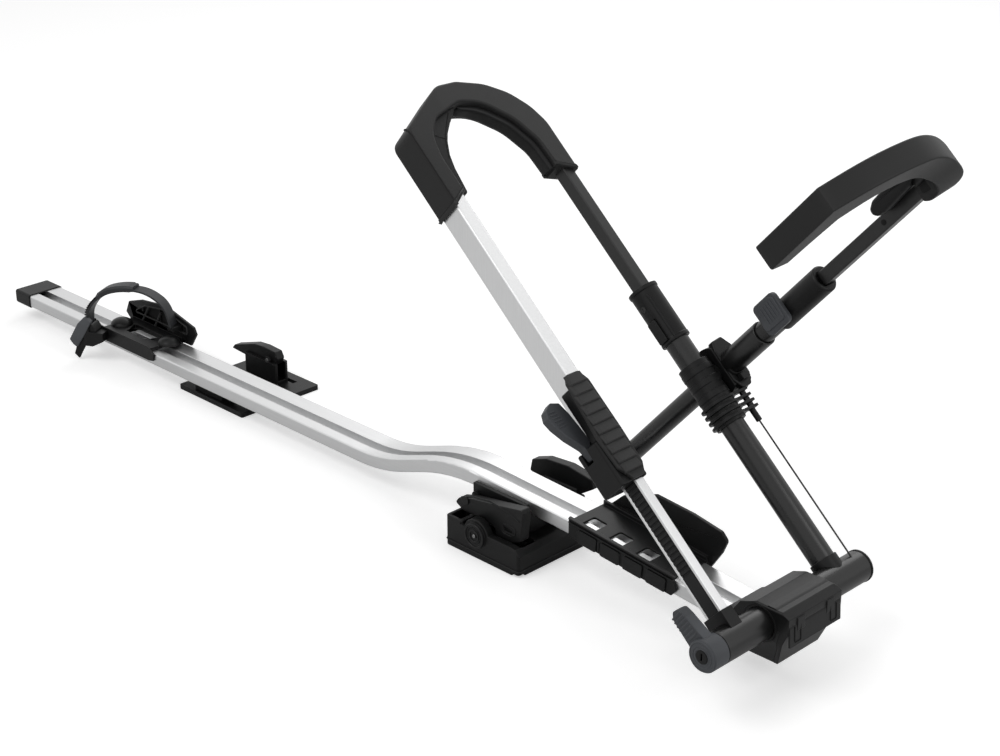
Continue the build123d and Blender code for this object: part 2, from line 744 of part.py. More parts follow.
def make_near_leg():
    with BuildPart() as leg_profile:
        profile_top = outer_top - hoop_travel - profile_end_gap
        block(leg_plane(leg_start, near_leg_y), leg_thickness, leg_width, profile_top - leg_start)
        cell = leg_thickness - strip_depth - profile_cell_wall * 2
        cell_y = near_leg_y + leg_thickness / 2 - profile_cell_wall - cell / 2
        cell_width = leg_width - profile_cell_wall * 2
        block(leg_plane(leg_start, cell_y), cell, cell_width, overrun * 2, mode=Mode.SUBTRACT)
        recess = leg_plane(near_collar_top, near_leg_y - leg_thickness / 2)
        block(recess, strip_depth * 2, strip_width, strip_top - near_collar_top, mode=Mode.SUBTRACT)
        cut_axle(axle_radius)
    leg_profile.part.label = "leg_profile"
    export_step(leg_profile.part, "parts/leg_profile.step")
    with BuildPart() as rack_strip:
        strip = leg_plane(near_collar_top, near_leg_y - leg_thickness / 2 + strip_depth / 2)
        block(strip, strip_depth, strip_width, strip_top - near_collar_top)
        for number in range(teeth):
            gap = leg_plane(tooth_start + tooth_pitch * number, near_leg_y - leg_thickness / 2)
            block(gap, tooth_depth * 2, strip_width, tooth_gap, mode=Mode.SUBTRACT)
    rack_strip.part.label = "rack_strip"
    export_step(rack_strip.part, "parts/rack_strip.step")
    with BuildPart() as leg_collars:
        foot = leg_plane(leg_start, near_leg_y)
        block(foot, near_collar_thickness, near_collar_width, near_collar_top - leg_start)
        block(foot, leg_thickness, leg_width, near_collar_top, mode=Mode.SUBTRACT)
        ring(leg_plane(leg_start, far_leg_y), far_collar_radius, far_tube_radius, far_collar_top - leg_start)
        cut_axle(axle_radius)
    leg_collars.part.label = "leg_collars"
    export_step(leg_collars.part, "parts/leg_collars.step")


def make_far_leg():
    with BuildPart() as far_leg_tube:
        ring(leg_plane(leg_start, far_leg_y), far_tube_radius, far_tube_bore, far_tube_top - leg_start)
        cut_axle(axle_radius)
    far_leg_tube.part.label = "far_leg_tube"
    export_step(far_leg_tube.part, "parts/far_leg_tube.step")
    with BuildPart() as joint_sleeve:
        sleeve_length = joint_sleeve_top - joint_sleeve_start
        rod(leg_plane(joint_sleeve_start, far_leg_y), joint_sleeve_radius, sleeve_length)
        pivot = Plane(origin=arm_pivot + across * (far_leg_y - arm_y), x_dir=hoop_front, z_dir=across)
        rod(pivot, pivot_boss_radius, pivot_boss_y - far_leg_y)
        for number in range(joint_rings):
            height = joint_sleeve_start + joint_ring + joint_ring_pitch * number
            rod(leg_plane(height, far_leg_y), joint_ring_radius, joint_ring)
        for number in range(sleeve_bands):
            height = band_start + band_pitch * number
            rod(leg_plane(height, far_leg_y), joint_sleeve_radius + band_rise, band_length)
        rod(leg_plane(leg_start, far_leg_y), far_tube_radius, overrun, mode=Mode.SUBTRACT)
    joint_sleeve.part.label = "joint_sleeve"
    export_step(joint_sleeve.part, "parts/joint_sleeve.step")
    with BuildPart() as wire_guide:
        for number in range(joint_rings):
            height = joint_sleeve_start + joint_ring + joint_ring_pitch * number
            comb = leg_plane(height, (far_leg_y + comb_reach) / 2, (comb_near_offset + comb_far_offset) / 2)
            block(comb, comb_reach - far_leg_y, comb_far_offset - comb_near_offset, joint_ring)
        web_length = joint_ring_pitch * (joint_rings - 1) + joint_ring
        comb_start = joint_sleeve_start + joint_ring
        web = leg_plane(comb_start, comb_reach - comb_web, comb_near_offset + comb_web / 2)
        block(web, comb_web * 2, comb_web, web_length)
        rod(leg_plane(stub_start, wire_y, wire_offset), stub_radius, comb_start - stub_start)
        rod(leg_plane(stub_start, wire_y, wire_offset), wire_radius, stub_radius, mode=Mode.SUBTRACT)
        rod(leg_plane(leg_start, far_leg_y), joint_ring_radius, overrun, mode=Mode.SUBTRACT)
    wire_guide.part.label = "wire_guide"
    export_step(wire_guide.part, "parts/wire_guide.step")
    with BuildPart() as pivot_pin:
        length = arm_block_far_y + moving_gap - pivot_boss_y
        start = Plane(origin=arm_pivot + across * (pivot_boss_y - arm_y), x_dir=hoop_front, z_dir=across)
        rod(start, pivot_pin_radius, length)
        rod(start.offset(length), pivot_head_radius, pivot_head)
    pivot_pin.part.label = "pivot_pin"
    export_step(pivot_pin.part, "parts/pivot_pin.step")


def make_pull_wire():
    with BuildPart() as pull_wire:
        rod(leg_plane(leg_start, wire_y, wire_offset), wire_radius, stub_start + stub_radius - leg_start)
        cut_axle(axle_radius)
    pull_wire.part.label = "pull_wire"
    export_step(pull_wire.part, "parts/pull_wire.step")


# Slide sleeve at the top of the far leg, with its button and screw
button_place = 4.0
button_length = 30.0
button_width = 15.0
button_height = 3.0
button_depth = 2.2
button_travel = 1.0
sleeve_screw_place = 52.0
sleeve_screw_radius = 4.0
sleeve_screw_depth = 2.0


def make_slide_sleeve():
    bar_width = hoop_bar_thickness + moving_gap * 2
    bar_face = hoop_bar_width + moving_gap * 2
    side = Plane(origin=axle + across * (far_leg_y - slide_sleeve_radius), x_dir=hoop_front, z_dir=-across)
    with BuildPart() as slide_sleeve:
        sleeve_length = slide_sleeve_top - slide_sleeve_start
        rod(leg_plane(slide_sleeve_start, far_leg_y), slide_sleeve_radius, sleeve_length)
        rim = leg_plane(slide_sleeve_top - slide_rim, far_leg_y)
        rod(rim, slide_sleeve_radius + slide_rim_rise, slide_rim)
        rod(leg_plane(leg_start, far_leg_y), far_tube_radius, far_tube_top - leg_start, mode=Mode.SUBTRACT)
        block(leg_plane(far_tube_top, hoop_bar_y), bar_width, bar_face, overrun, mode=Mode.SUBTRACT)
        button_middle = slide_sleeve_start + button_place + button_length / 2
        middle = side.offset(-button_depth).origin + hoop_up * button_middle
        pocket = Plane(origin=middle, x_dir=hoop_front, z_dir=-across)
        gap = moving_gap * 2
        block(pocket, button_width + gap, button_length + gap, overrun, mode=Mode.SUBTRACT)
        screw_middle = side.origin + hoop_up * (slide_sleeve_start + sleeve_screw_place)
        screw = Plane(origin=screw_middle, x_dir=hoop_front, z_dir=across)
        outside = screw.offset(-sleeve_screw_depth)
        rod(outside, sleeve_screw_radius, sleeve_screw_depth * 2, mode=Mode.SUBTRACT)
    slide_sleeve.part.label = "slide_sleeve"
    export_step(slide_sleeve.part, "parts/slide_sleeve.step")
    with BuildPart() as slide_button:
        rest = pocket.offset(moving_gap + button_travel)
        block(rest, button_width, button_length, button_height, button_depth)
    slide_button.part.label = "slide_button"
    export_step(slide_button.part, "parts/slide_button.step")
    with BuildPart() as sleeve_screw:
        rod(screw, sleeve_screw_radius, sleeve_screw_depth)
        block(screw, sleeve_screw_depth, sleeve_screw_radius, sleeve_screw_depth / 2, mode=Mode.SUBTRACT)
    sleeve_screw.part.label = "sleeve_screw"
    export_step(sleeve_screw.part, "parts/sleeve_screw.step")


# Sliding hoop: near outer tube, padded hook and the flat bar that runs into the far leg
outer_start = 262.0
outer_top = 640.0
outer_wall = 2.0
outer_corner = 3.0
bush_top = 290.0
hoop_bar_width = 18.6
hoop_bar_thickness = 16.1
hoop_bar_offset = 0.7
hoop_bar_start = 300.0
hook_overlap = 53.0
hook_near_margin = 12.7
hook_far_margin = 11.0
hook_height = 158.0
hook_outer_shares = [
    (0, 0), (0, 0.652), (0.404, 0.99), (0.526, 1), (0.836, 0.81), (0.948, 0.652), (0.995, 0.475), (1, 0.013),
]
hook_inner_shares = [
    (0.854, 0.09), (0.845, 0.335), (0.77, 0.563), (0.618, 0.791), (0.5, 0.8), (0.242, 0.595),
    (0.188, 0.456), (0.127, 0.095),
]
hook_tight = (0, 7, 8, 15)
hook_taper_share = 0.33
hook_depth = 42.0
hook_slim_depth = 30.0
hook_corner = 4.5
hook_bevel = 3.0
hook_rim = 6.0
near_pad_shares = [
    (0.127, 0.095), (0.188, 0.456), (0.242, 0.595), (0.27, 0.575), (0.212, 0.44), (0.152, 0.095),
]
far_pad_shares = [(0.854, 0.09), (0.845, 0.335), (0.77, 0.563), (0.74, 0.545), (0.815, 0.32), (0.826, 0.09)]
pad_depth = 20.0

hoop_bar_y = far_leg_y + hoop_bar_offset
hoop_bar_top = outer_top
hook_near_y = near_leg_y - hook_near_margin
hook_width = hoop_bar_y + hook_far_margin - hook_near_y
hook_base = outer_top - hook_overlap


def make_outer_tube():
    with BuildPart() as outer_tube:
        start = leg_plane(outer_start, near_leg_y)
        block(start, outer_thickness, outer_width, outer_top - outer_start, outer_corner)
        inner = outer_thickness - outer_wall * 2
        inner_width = outer_width - outer_wall * 2
        block(start, inner, inner_width, overrun * 2, mode=Mode.SUBTRACT)
    outer_tube.part.label = "outer_tube"
    export_step(outer_tube.part, "parts/outer_tube.step")
    with BuildPart() as guide_bush:
        block(start, inner, inner_width, bush_top - outer_start)
        gap = slide_gap * 2
        block(start, leg_thickness + gap, leg_width + gap, overrun, mode=Mode.SUBTRACT)
    guide_bush.part.label = "guide_bush"
    export_step(guide_bush.part, "parts/guide_bush.step")
    with BuildPart() as hoop_bar:
        length = hoop_bar_top - hoop_bar_start
        block(leg_plane(hoop_bar_start, hoop_bar_y), hoop_bar_thickness, hoop_bar_width, length, outer_wall)
    hoop_bar.part.label = "hoop_bar"
    export_step(hoop_bar.part, "parts/hoop_bar.step")


def make_hook_shell():
    start = (hook_near_y, hook_base)
    size = (hook_width, hook_height)
    points = outline(hook_outer_shares + hook_inner_shares, start, size)
    far_y = hook_near_y + hook_width
    with BuildPart() as hook_shell:
        soft_plate(hoop_face(-hook_depth / 2), points, hook_depth, hook_tight, hook_corner)
        faces = hook_shell.faces().sort_by(Axis((0, 0, 0), hoop_front))
        chamfer(faces[-1].edges() + faces[0].edges(), hook_bevel)
        taper_y = hook_near_y + hook_width * hook_taper_share
        taper = [
            (hook_near_y, hook_depth / 2),
            (taper_y, hook_depth / 2),
            (far_y, hook_slim_depth / 2),
            (far_y, -hook_slim_depth / 2),
            (taper_y, -hook_depth / 2),
            (hook_near_y, -hook_depth / 2),
        ]
        plate(leg_plane(hook_base - hook_rim), taper, hook_height + hook_rim * 2, mode=Mode.INTERSECT)
        tube = leg_plane(outer_start, near_leg_y)
        block(tube, outer_thickness, outer_width, outer_top - outer_start, outer_corner, mode=Mode.SUBTRACT)
        length = hoop_bar_top - hoop_bar_start
        bar = leg_plane(hoop_bar_start, hoop_bar_y)
        block(bar, hoop_bar_thickness, hoop_bar_width, length, outer_wall, mode=Mode.SUBTRACT)
    hook_shell.part.label = "hook_shell"
    export_step(hook_shell.part, "parts/hook_shell.step")
    with BuildPart() as hook_pads:
        for shares in (near_pad_shares, far_pad_shares):
            plate(hoop_face(-pad_depth / 2), outline(shares, start, size), pad_depth)
        add(hook_shell.part, mode=Mode.SUBTRACT)
    hook_pads.part.label = "hook_pads"
    export_step(hook_pads.part, "parts/hook_pads.step")


# Handle at the lower end of the outer tube: housing, ribbed grip, release lever and pawl
housing_start = 206.0
housing_top = 265.0
housing_near_y = -141.0
housing_far_y = -98.5
housing_back_offset = -24.0
housing_corner = 4.0
grip_start = 207.0
grip_top = 348.0
grip_start_y = -139.0
grip_width = 40.5
grip_shares = [
    (0.8, 0), (0.35, 0), (0.06, 0.13), (0, 0.4), (0.1, 0.72), (0.16, 0.93), (0.3, 1), (0.8, 1), (0.97, 0.9),
    (1, 0.42), (0.98, 0.1),
]
grip_rib_width = 26.0
grip_rib_y = -119.0
grip_base = 4.5
grip_corner = 4.0
grip_ribs = 10
grip_rib = 6.0
grip_rib_rise = 2.6
cheek_near_y = -134.0
cheek_back_offset = 2.0
cheek_top = 332.0
release_shares = [
    (0.9, 0.04), (0.66, 0.02), (0.56, 0.23), (0.26, 0.45), (0.06, 0.66), (0, 0.8), (0.1, 0.92), (0.39, 1),
    (0.68, 0.95), (0.79, 0.76), (0.85, 0.55), (0.91, 0.28),
]
release_start = (-163.0, 250.0)
release_size = (41.0, 82.0)
release_offset = -16.0
release_depth = 12.0
release_corner = 2.5
release_slot_gap = 1.2
release_pin_y = -133.0
release_pin_height = 256.0
release_pin_radius = 2.2
pawl_start = 232.0
pawl_length = 7.0
pawl_depth = 10.0
pawl_near_y = -134.0
pawl_travel = 3.0
tooth_clear = 0.3


def make_handle():
    width = housing_far_y - housing_near_y
    middle_y = (housing_far_y + housing_near_y) / 2
    depth = outer_width / 2 - housing_back_offset
    middle_n = (outer_width / 2 + housing_back_offset) / 2
    pawl_plane = hoop_side(near_leg_y - leg_thickness / 2 - tooth_clear)
    with BuildPart() as handle_housing:
        place = leg_plane(housing_start, middle_y, middle_n)
        block(place, width, depth, housing_top - housing_start, housing_corner)
        cheek_far_y = near_leg_y - outer_thickness / 2
        cheek_depth = outer_width / 2 - cheek_back_offset
        cheek_y = (cheek_near_y + cheek_far_y) / 2
        cheek = leg_plane(housing_start, cheek_y, (outer_width / 2 + cheek_back_offset) / 2)
        block(cheek, cheek_far_y - cheek_near_y, cheek_depth, cheek_top - housing_start)
        leg = (leg_thickness + moving_gap * 2, leg_width + moving_gap * 2)
        block(leg_plane(leg_start, near_leg_y), *leg, overrun, mode=Mode.SUBTRACT)
        tube = leg_plane(outer_start, near_leg_y)
        block(tube, outer_thickness, outer_width, overrun, outer_corner, mode=Mode.SUBTRACT)
        with BuildSketch(pawl_plane) as channel:
            with Locations((0, pawl_start + pawl_length / 2)):
                Rectangle(pawl_depth + slide_gap * 2, pawl_length + slide_gap * 2)
        reach = near_leg_y - leg_thickness / 2 - tooth_clear - pawl_near_y + pawl_travel + moving_gap
        extrude(channel.sketch, amount=reach, mode=Mode.SUBTRACT)
        points = outline(release_shares, release_start, release_size)
        slot_near_y = housing_near_y - housing_corner
        slot_far_y = release_start[0] + release_size[0] + moving_gap
        slot_base = release_start[1] - release_slot_gap
        slot_top = housing_top + housing_corner
        lever_slot = [
            (slot_near_y, slot_base),
            (slot_far_y, slot_base),
            (slot_far_y, slot_top),
            (slot_near_y, slot_top),
        ]
        slot_size = release_depth + moving_gap * 2
        plate(hoop_face(release_offset - moving_gap), lever_slot, slot_size, mode=Mode.SUBTRACT)
        pin_base = hoop_face(housing_back_offset)
        with BuildSketch(pin_base) as pin_hole:
            with Locations((release_pin_y, release_pin_height)):
                Circle(release_pin_radius)
        extrude(pin_hole.sketch, amount=overrun, mode=Mode.SUBTRACT)
    handle_housing.part.label = "handle_housing"
    export_step(handle_housing.part, "parts/handle_housing.step")
    with BuildPart() as release_lever:
        plate(hoop_face(release_offset), points, release_depth, release_corner)
        with BuildSketch(pin_base) as lever_hole:
            with Locations((release_pin_y, release_pin_height)):
                Circle(release_pin_radius + running_gap)
        extrude(lever_hole.sketch, amount=overrun, mode=Mode.SUBTRACT)
    release_lever.part.label = "release_lever"
    export_step(release_lever.part, "parts/release_lever.step")
    with BuildPart() as release_pin:
        extrude(pin_hole.sketch, amount=outer_width / 2 - housing_back_offset)
    release_pin.part.label = "release_pin"
    export_step(release_pin.part, "parts/release_pin.step")
    with BuildPart() as rack_pawl:
        with BuildSketch(pawl_plane) as section:
            with Locations((0, pawl_start + pawl_length / 2)):
                Rectangle(pawl_depth, pawl_length)
        extrude(section.sketch, amount=reach - pawl_travel - moving_gap)
    rack_pawl.part.label = "rack_pawl"
    export_step(rack_pawl.part, "parts/rack_pawl.step")
    with BuildPart() as handle_grip:
        face_n = outer_width / 2
        grip_points = outline(grip_shares, (grip_start_y, grip_start), (grip_width, grip_top - grip_start))
        plate(hoop_face(face_n), grip_points, grip_base, grip_corner)
        pitch = (grip_top - grip_start) / (grip_ribs + 1)
        for number in range(grip_ribs):
            height = grip_start + pitch * number + (pitch * 2 - grip_rib) / 2
            rib = leg_plane(height, grip_rib_y, face_n + grip_base + grip_rib_rise / 2 - moving_gap)
            block(rib, grip_rib_width, grip_rib_rise + moving_gap, grip_rib)
    handle_grip.part.label = "handle_grip"
    export_step(handle_grip.part, "parts/handle_grip.step")


# Front arm: block on the pivot, round tubes, shroud, slide sleeve, button and clamp lever
arm_block_far_y = 130.9
arm_block_near_y = 98.5
arm_block_radius = 33.0
arm_block_front = 20.0
arm_block_back = -25.0
lower_tube_radius = 13.0
lower_tube_end = -240.0
lower_cap = 5.0
upper_tube_radius = 13.5
upper_tube_bore = 12.0
upper_tube_top = 207.0
shroud_radius = 16.0
shroud_top = 91.0
arm_sleeve_start = 127.0
arm_sleeve_top = 213.0
arm_sleeve_radius = 17.0
arm_button_offset = -22.0
arm_button_radius = 4.5
arm_button_width = 14.0
arm_button_rise = 10.0
arm_button_depth = 8.0
arm_button_travel = 3.0
clamp_reach = 122.0
clamp_offset = -2.0
clamp_far_y = 96.7
clamp_thickness = 6.5
clamp_start = (115.0, -15.0)
clamp_size = (41.0, 41.0)
clamp_corner = 7.0
clamp_pin_radius = 4.0


def make_arm():
    width = arm_block_far_y - arm_block_near_y
    pin_plane = Plane(origin=arm_pivot - across * overrun, x_dir=arm_out, z_dir=across)
    block_y = (arm_block_far_y + arm_block_near_y) / 2 - arm_y
    button_top = arm_block_front + arm_button_rise
    button_plane = arm_plane(button_top - arm_button_depth - arm_button_rise, 0, arm_button_offset)
    with BuildPart() as arm_block:
        back = arm_plane(arm_block_back, block_y)
        block(back, width, arm_block_radius * 2, arm_block_front - arm_block_back)
        round_place = arm_pivot + across * (arm_block_near_y - arm_y)
        round_plane = Plane(origin=round_place, x_dir=arm_out, z_dir=across)
        rod(round_plane, arm_block_radius, width, mode=Mode.INTERSECT)
        rod(pin_plane, pivot_pin_radius + running_gap, overrun * 2, mode=Mode.SUBTRACT)
        gap = moving_gap * 2
        pocket = button_plane.offset(-arm_button_travel - moving_gap)
        block(pocket, arm_button_width + gap, arm_button_radius * 2 + gap, overrun, mode=Mode.SUBTRACT)
    arm_block.part.label = "arm_block"
    export_step(arm_block.part, "parts/arm_block.step")
    with BuildPart() as arm_button:
        length = arm_button_depth + arm_button_rise
        block(button_plane, arm_button_width, arm_button_radius * 2, length, outer_wall)
    arm_button.part.label = "arm_button"
    export_step(arm_button.part, "parts/arm_button.step")
    with BuildPart() as arm_lower_tube:
        rod(arm_plane(lower_tube_end), lower_tube_radius, arm_block_back - lower_tube_end)
        chamfer(arm_lower_tube.faces().sort_by(Axis((0, 0, 0), arm_out))[0].edges(), outer_wall)
        bore = lower_tube_radius - outer_wall
        rod(arm_plane(lower_tube_end + lower_cap), bore, overrun, mode=Mode.SUBTRACT)
    arm_lower_tube.part.label = "arm_lower_tube"
    export_step(arm_lower_tube.part, "parts/arm_lower_tube.step")
    with BuildPart() as arm_upper_tube:
        ring(arm_plane(arm_block_front), upper_tube_radius, upper_tube_bore, upper_tube_top - arm_block_front)
    arm_upper_tube.part.label = "arm_upper_tube"
    export_step(arm_upper_tube.part, "parts/arm_upper_tube.step")
    with BuildPart() as arm_shroud:
        ring(arm_plane(arm_block_front), shroud_radius, upper_tube_radius, shroud_top - arm_block_front)
    arm_shroud.part.label = "arm_shroud"
    export_step(arm_shroud.part, "parts/arm_shroud.step")
    with BuildPart() as arm_sleeve:
        rod(arm_plane(arm_sleeve_start), arm_sleeve_radius, arm_sleeve_top - arm_sleeve_start)
        chamfer(arm_sleeve.faces().sort_by(Axis((0, 0, 0), arm_out))[-1].edges(), outer_wall)
        start = arm_plane(arm_sleeve_start)
        rod(start, upper_tube_radius, upper_tube_top - arm_sleeve_start, mode=Mode.SUBTRACT)
        block(start, arm_bar_thickness + gap, arm_bar_width + gap, overrun, mode=Mode.SUBTRACT)
    arm_sleeve.part.label = "arm_sleeve"
    export_step(arm_sleeve.part, "parts/arm_sleeve.step")


def make_clamp_lever():
    start_y = clamp_far_y - arm_y
    pin_place = arm_pivot + arm_out * clamp_reach + arm_up * clamp_offset
    reach = arm_y - upper_tube_radius / 2 - clamp_far_y + clamp_thickness + moving_gap
    pin_plane = Plane(origin=pin_place - across * (upper_tube_radius / 2), x_dir=arm_out, z_dir=-across)
    points = outline(square_shares, clamp_start, clamp_size)
    with BuildPart() as clamp_lever:
        plate(arm_side(start_y), points, clamp_thickness, clamp_corner)
        rod(pin_plane, clamp_pin_radius + running_gap, overrun, mode=Mode.SUBTRACT)
    clamp_lever.part.label = "clamp_lever"
    export_step(clamp_lever.part, "parts/clamp_lever.step")
    with BuildPart() as clamp_pin:
        rod(pin_plane, clamp_pin_radius, reach)
        rod(pin_plane.offset(reach), clamp_pin_radius + outer_wall, outer_wall / 2)
        rod(arm_plane(0), upper_tube_radius, overrun, mode=Mode.SUBTRACT)
    clamp_pin.part.label = "clamp_pin"
    export_step(clamp_pin.part, "parts/clamp_pin.step")


# Sliding front hook: bar, padded hook shell and its rubber pad
arm_bar_start = 150.0
arm_bar_top = 425.0
front_hook_overlap = 90.0
front_hook_margin = 12.0
front_hook_band = 24.4
front_hook_width = 218.0
front_hook_height = 143.0
front_hook_outer_shares = [
    (0, 0), (0.028, 0.629), (0.173, 0.839), (0.336, 0.944), (0.523, 1), (0.71, 0.965), (0.874, 0.888),
    (0.98, 0.76), (1, 0.455),
]
front_hook_inner_shares = [
    (0.86, 0.6), (0.78, 0.68), (0.6, 0.755), (0.45, 0.75), (0.28, 0.64), (0.17, 0.5), (0.1215, 0.1),
]
front_hook_tight = (0, 1, 8, 9, 16)
front_hook_top_offset = 27.5
front_hook_depth = 30.0
front_socket_start = 402.0
front_socket_length = 40.0
front_socket_drop = 9.0
front_pad_shares = [(0.86, 0.6), (0.78, 0.68), (0.755, 0.64), (0.83, 0.57), (0.855, 0.44)]
front_pad_depth = 20.0

front_hook_far_y = arm_y + front_hook_margin
front_hook_start = (front_hook_far_y - front_hook_width, arm_bar_top - front_hook_overlap)
front_hook_size = (front_hook_width, front_hook_height)


def make_front_hook():
    outer_points = outline(front_hook_outer_shares, front_hook_start, front_hook_size)
    band_end = (front_hook_far_y - front_hook_band, outer_points[-1][1])
    inner_points = outline(front_hook_inner_shares, front_hook_start, front_hook_size)
    length = arm_bar_top - arm_bar_start
    with BuildPart() as arm_bar:
        block(arm_plane(arm_bar_start), arm_bar_thickness, arm_bar_width, length, outer_wall)
    arm_bar.part.label = "arm_bar"
    export_step(arm_bar.part, "parts/arm_bar.step")
    with BuildPart() as front_hook:
        points = outer_points + [band_end] + inner_points
        soft_plate(arm_face(front_hook_top_offset), points, front_hook_depth, front_hook_tight, hook_corner)
        chamfer(front_hook.faces().sort_by(Axis((0, 0, 0), arm_up))[-1].edges(), hook_bevel)
        socket_width = front_hook_margin + arm_bar_thickness / 2 + outer_wall
        socket_y = front_hook_margin - socket_width / 2
        socket_m = front_hook_top_offset - front_hook_depth - front_socket_drop / 2
        socket = arm_plane(front_socket_start, socket_y, socket_m)
        block(socket, socket_width, front_socket_drop, front_socket_length)
        bar_start = arm_plane(arm_bar_start)
        block(bar_start, arm_bar_thickness, arm_bar_width, length, outer_wall, mode=Mode.SUBTRACT)
    front_hook.part.label = "front_hook"
    export_step(front_hook.part, "parts/front_hook.step")
    with BuildPart() as front_pad:
        margin = (front_hook_depth - front_pad_depth) / 2
        pad_points = [band_end] + outline(front_pad_shares, front_hook_start, front_hook_size)
        plate(arm_face(front_hook_top_offset - margin), pad_points, front_pad_depth)
        add(front_hook.part, mode=Mode.SUBTRACT)
    front_pad.part.label = "front_pad"
    export_step(front_pad.part, "parts/front_pad.step")


# Strap holder for the rear wheel, sliding on the tray
holder_wall = 2.6
holder_deck = 6.0
holder_deck_rear = -895.0
holder_deck_front = -770.0
holder_skirt_z = 30.0
near_plate_start = (-910.0, 32.5)
near_plate_size = (153.0, 22.5)
near_plate_shares = [(0, 0.3), (0, 0.75), (0.06, 1), (0.88, 1), (1, 0.65), (0.98, 0.1), (0.9, 0), (0.08, 0)]
fin_start = (-917.0, 45.6)
fin_size = (185.0, 49.0)
fin_shares = [(0, 0.2), (0.05, 0.6), (0.24, 0.84), (0.58, 1), (0.97, 0.66), (1, 0.45), (0.92, 0), (0.06, 0)]
fin_window_shares = [(0.14, 0.36), (0.3, 0.66), (0.57, 0.8), (0.86, 0.56), (0.86, 0.36)]
fin_thickness = 4.0
fin_bars = 3
fin_bar = 4.0
fin_bar_share = 0.75
lug_size = 14.0
holder_window_share = 0.4

# Wheel strap: from the buckle over the wheel's gap to the fin
strap_width = 22.0
strap_thickness = 3.0
strap_end_x = -775.0
strap_end_y = 20.0
strap_shares = [
    (0, 0), (0, 0.4), (0.1, 0.68), (0.26, 0.92), (0.5, 1.03), (0.74, 0.99), (0.93, 0.76), (1, 0.3),
]
strap_rise = 76.0
strap_lug = 8.0

# Buckle in the strap's own upright plane: x along the strap's chord and y up from its start
buckle_x = -903.0
buckle_y = -46.0
buckle_z = 51.0
buckle_start = (-7.0, -24.0)
buckle_size = (34.0, 24.0)
buckle_shares = [(0, 0), (0, 1), (1, 1), (1, 0.42), (0.44, 0)]
cheek_start = (-14.0, -7.0)
cheek_size = (17.0, 20.0)
cheek_thickness = 3.0
buckle_pin_radius = 2.0
buckle_pin_place = (-8.5, 8.0)
buckle_lever_start = (-34.0, -31.0)
buckle_lever_size = (30.0, 46.0)
buckle_lever_shares = [
    (0.05, 0.08), (0.35, 0.62), (0.68, 1), (0.95, 0.98), (0.97, 0.76), (0.62, 0.52), (0.3, 0),
]
tail_shares = [(0, 1), (0.25, 1), (0.5, 0.68), (1, 0)]
tail_drop = 42.0
tail_reach = 30.0
tail_base = -8.0


def make_strap_holder():
    with BuildPart() as strap_cradle:
        near_side = side_plane(-tray_width / 2 - moving_gap)
        plate(near_side, outline(near_plate_shares, near_plate_start, near_plate_size), holder_wall)
        far_side = side_plane(tray_width / 2 + moving_gap + fin_thickness)
        plate(far_side, outline(fin_shares, fin_start, fin_size), fin_thickness)
        plate(far_side, outline(fin_window_shares, fin_start, fin_size), fin_thickness, mode=Mode.SUBTRACT)
        for number in range(fin_bars):
            bar_x = fin_start[0] + fin_size[0] * (number + 1) / (fin_bars + 1)
            bar = Plane(origin=(bar_x, far_side.origin.Y, fin_start[1]), x_dir=(1, 0, 0), z_dir=(0, 0, 1))
            with BuildSketch(bar) as section:
                with Locations((0, -fin_thickness / 2)):
                    Rectangle(fin_bar, fin_thickness)
            extrude(section.sketch, amount=fin_size[1] * fin_bar_share)
        deck_length = holder_deck_front - holder_deck_rear
        deck = level_plane((holder_deck_front + holder_deck_rear) / 2, 0, tray_low_top + moving_gap)
        block(deck, deck_length, tray_width + (moving_gap + holder_wall) * 2, holder_deck)
        far_skirt_z = (tray_low_top + holder_skirt_z) / 2
        skirt_y = tray_width / 2 + moving_gap + holder_wall / 2
        skirt = cross_plane(holder_deck_rear, skirt_y, far_skirt_z)
        block(skirt, holder_wall, tray_low_top - holder_skirt_z + holder_deck, deck_length)
        lug_top = buckle_z + strap_rise * strap_shares[-1][1]
        lug_reach = tray_width / 2 + moving_gap + fin_thickness / 2 - strap_end_y + lug_size / 2
        lug = level_plane(strap_end_x, strap_end_y - lug_size / 2 + lug_reach / 2, lug_top - strap_lug)
        block(lug, lug_size, lug_reach, strap_lug)
        window = level_plane((holder_deck_front + holder_deck_rear) / 2, 0, tray_low_top)
        window_size = (deck_length * holder_window_share, tray_width * holder_window_share)
        block(window, *window_size, holder_deck * 2, mode=Mode.SUBTRACT)
    strap_cradle.part.label = "strap_cradle"
    export_step(strap_cradle.part, "parts/strap_cradle.step")


def band(plane, points, width, thickness):
    """Solid of a flat band that follows a softly bent line in a plane."""
    corners = zip(points, points[1:], points[2:])
    radii = [arc_radius(before, point, after) for before, point, after in corners]
    with BuildLine(plane) as route:
        FilletPolyline(*points, radius=radii)
    path = route.wires()[0]
    with BuildPart() as solid:
        with BuildSketch(Plane(origin=path @ 0, x_dir=plane.z_dir, z_dir=path % 0)):
            Rectangle(width, thickness)
        sweep(path=path)
    return solid.part


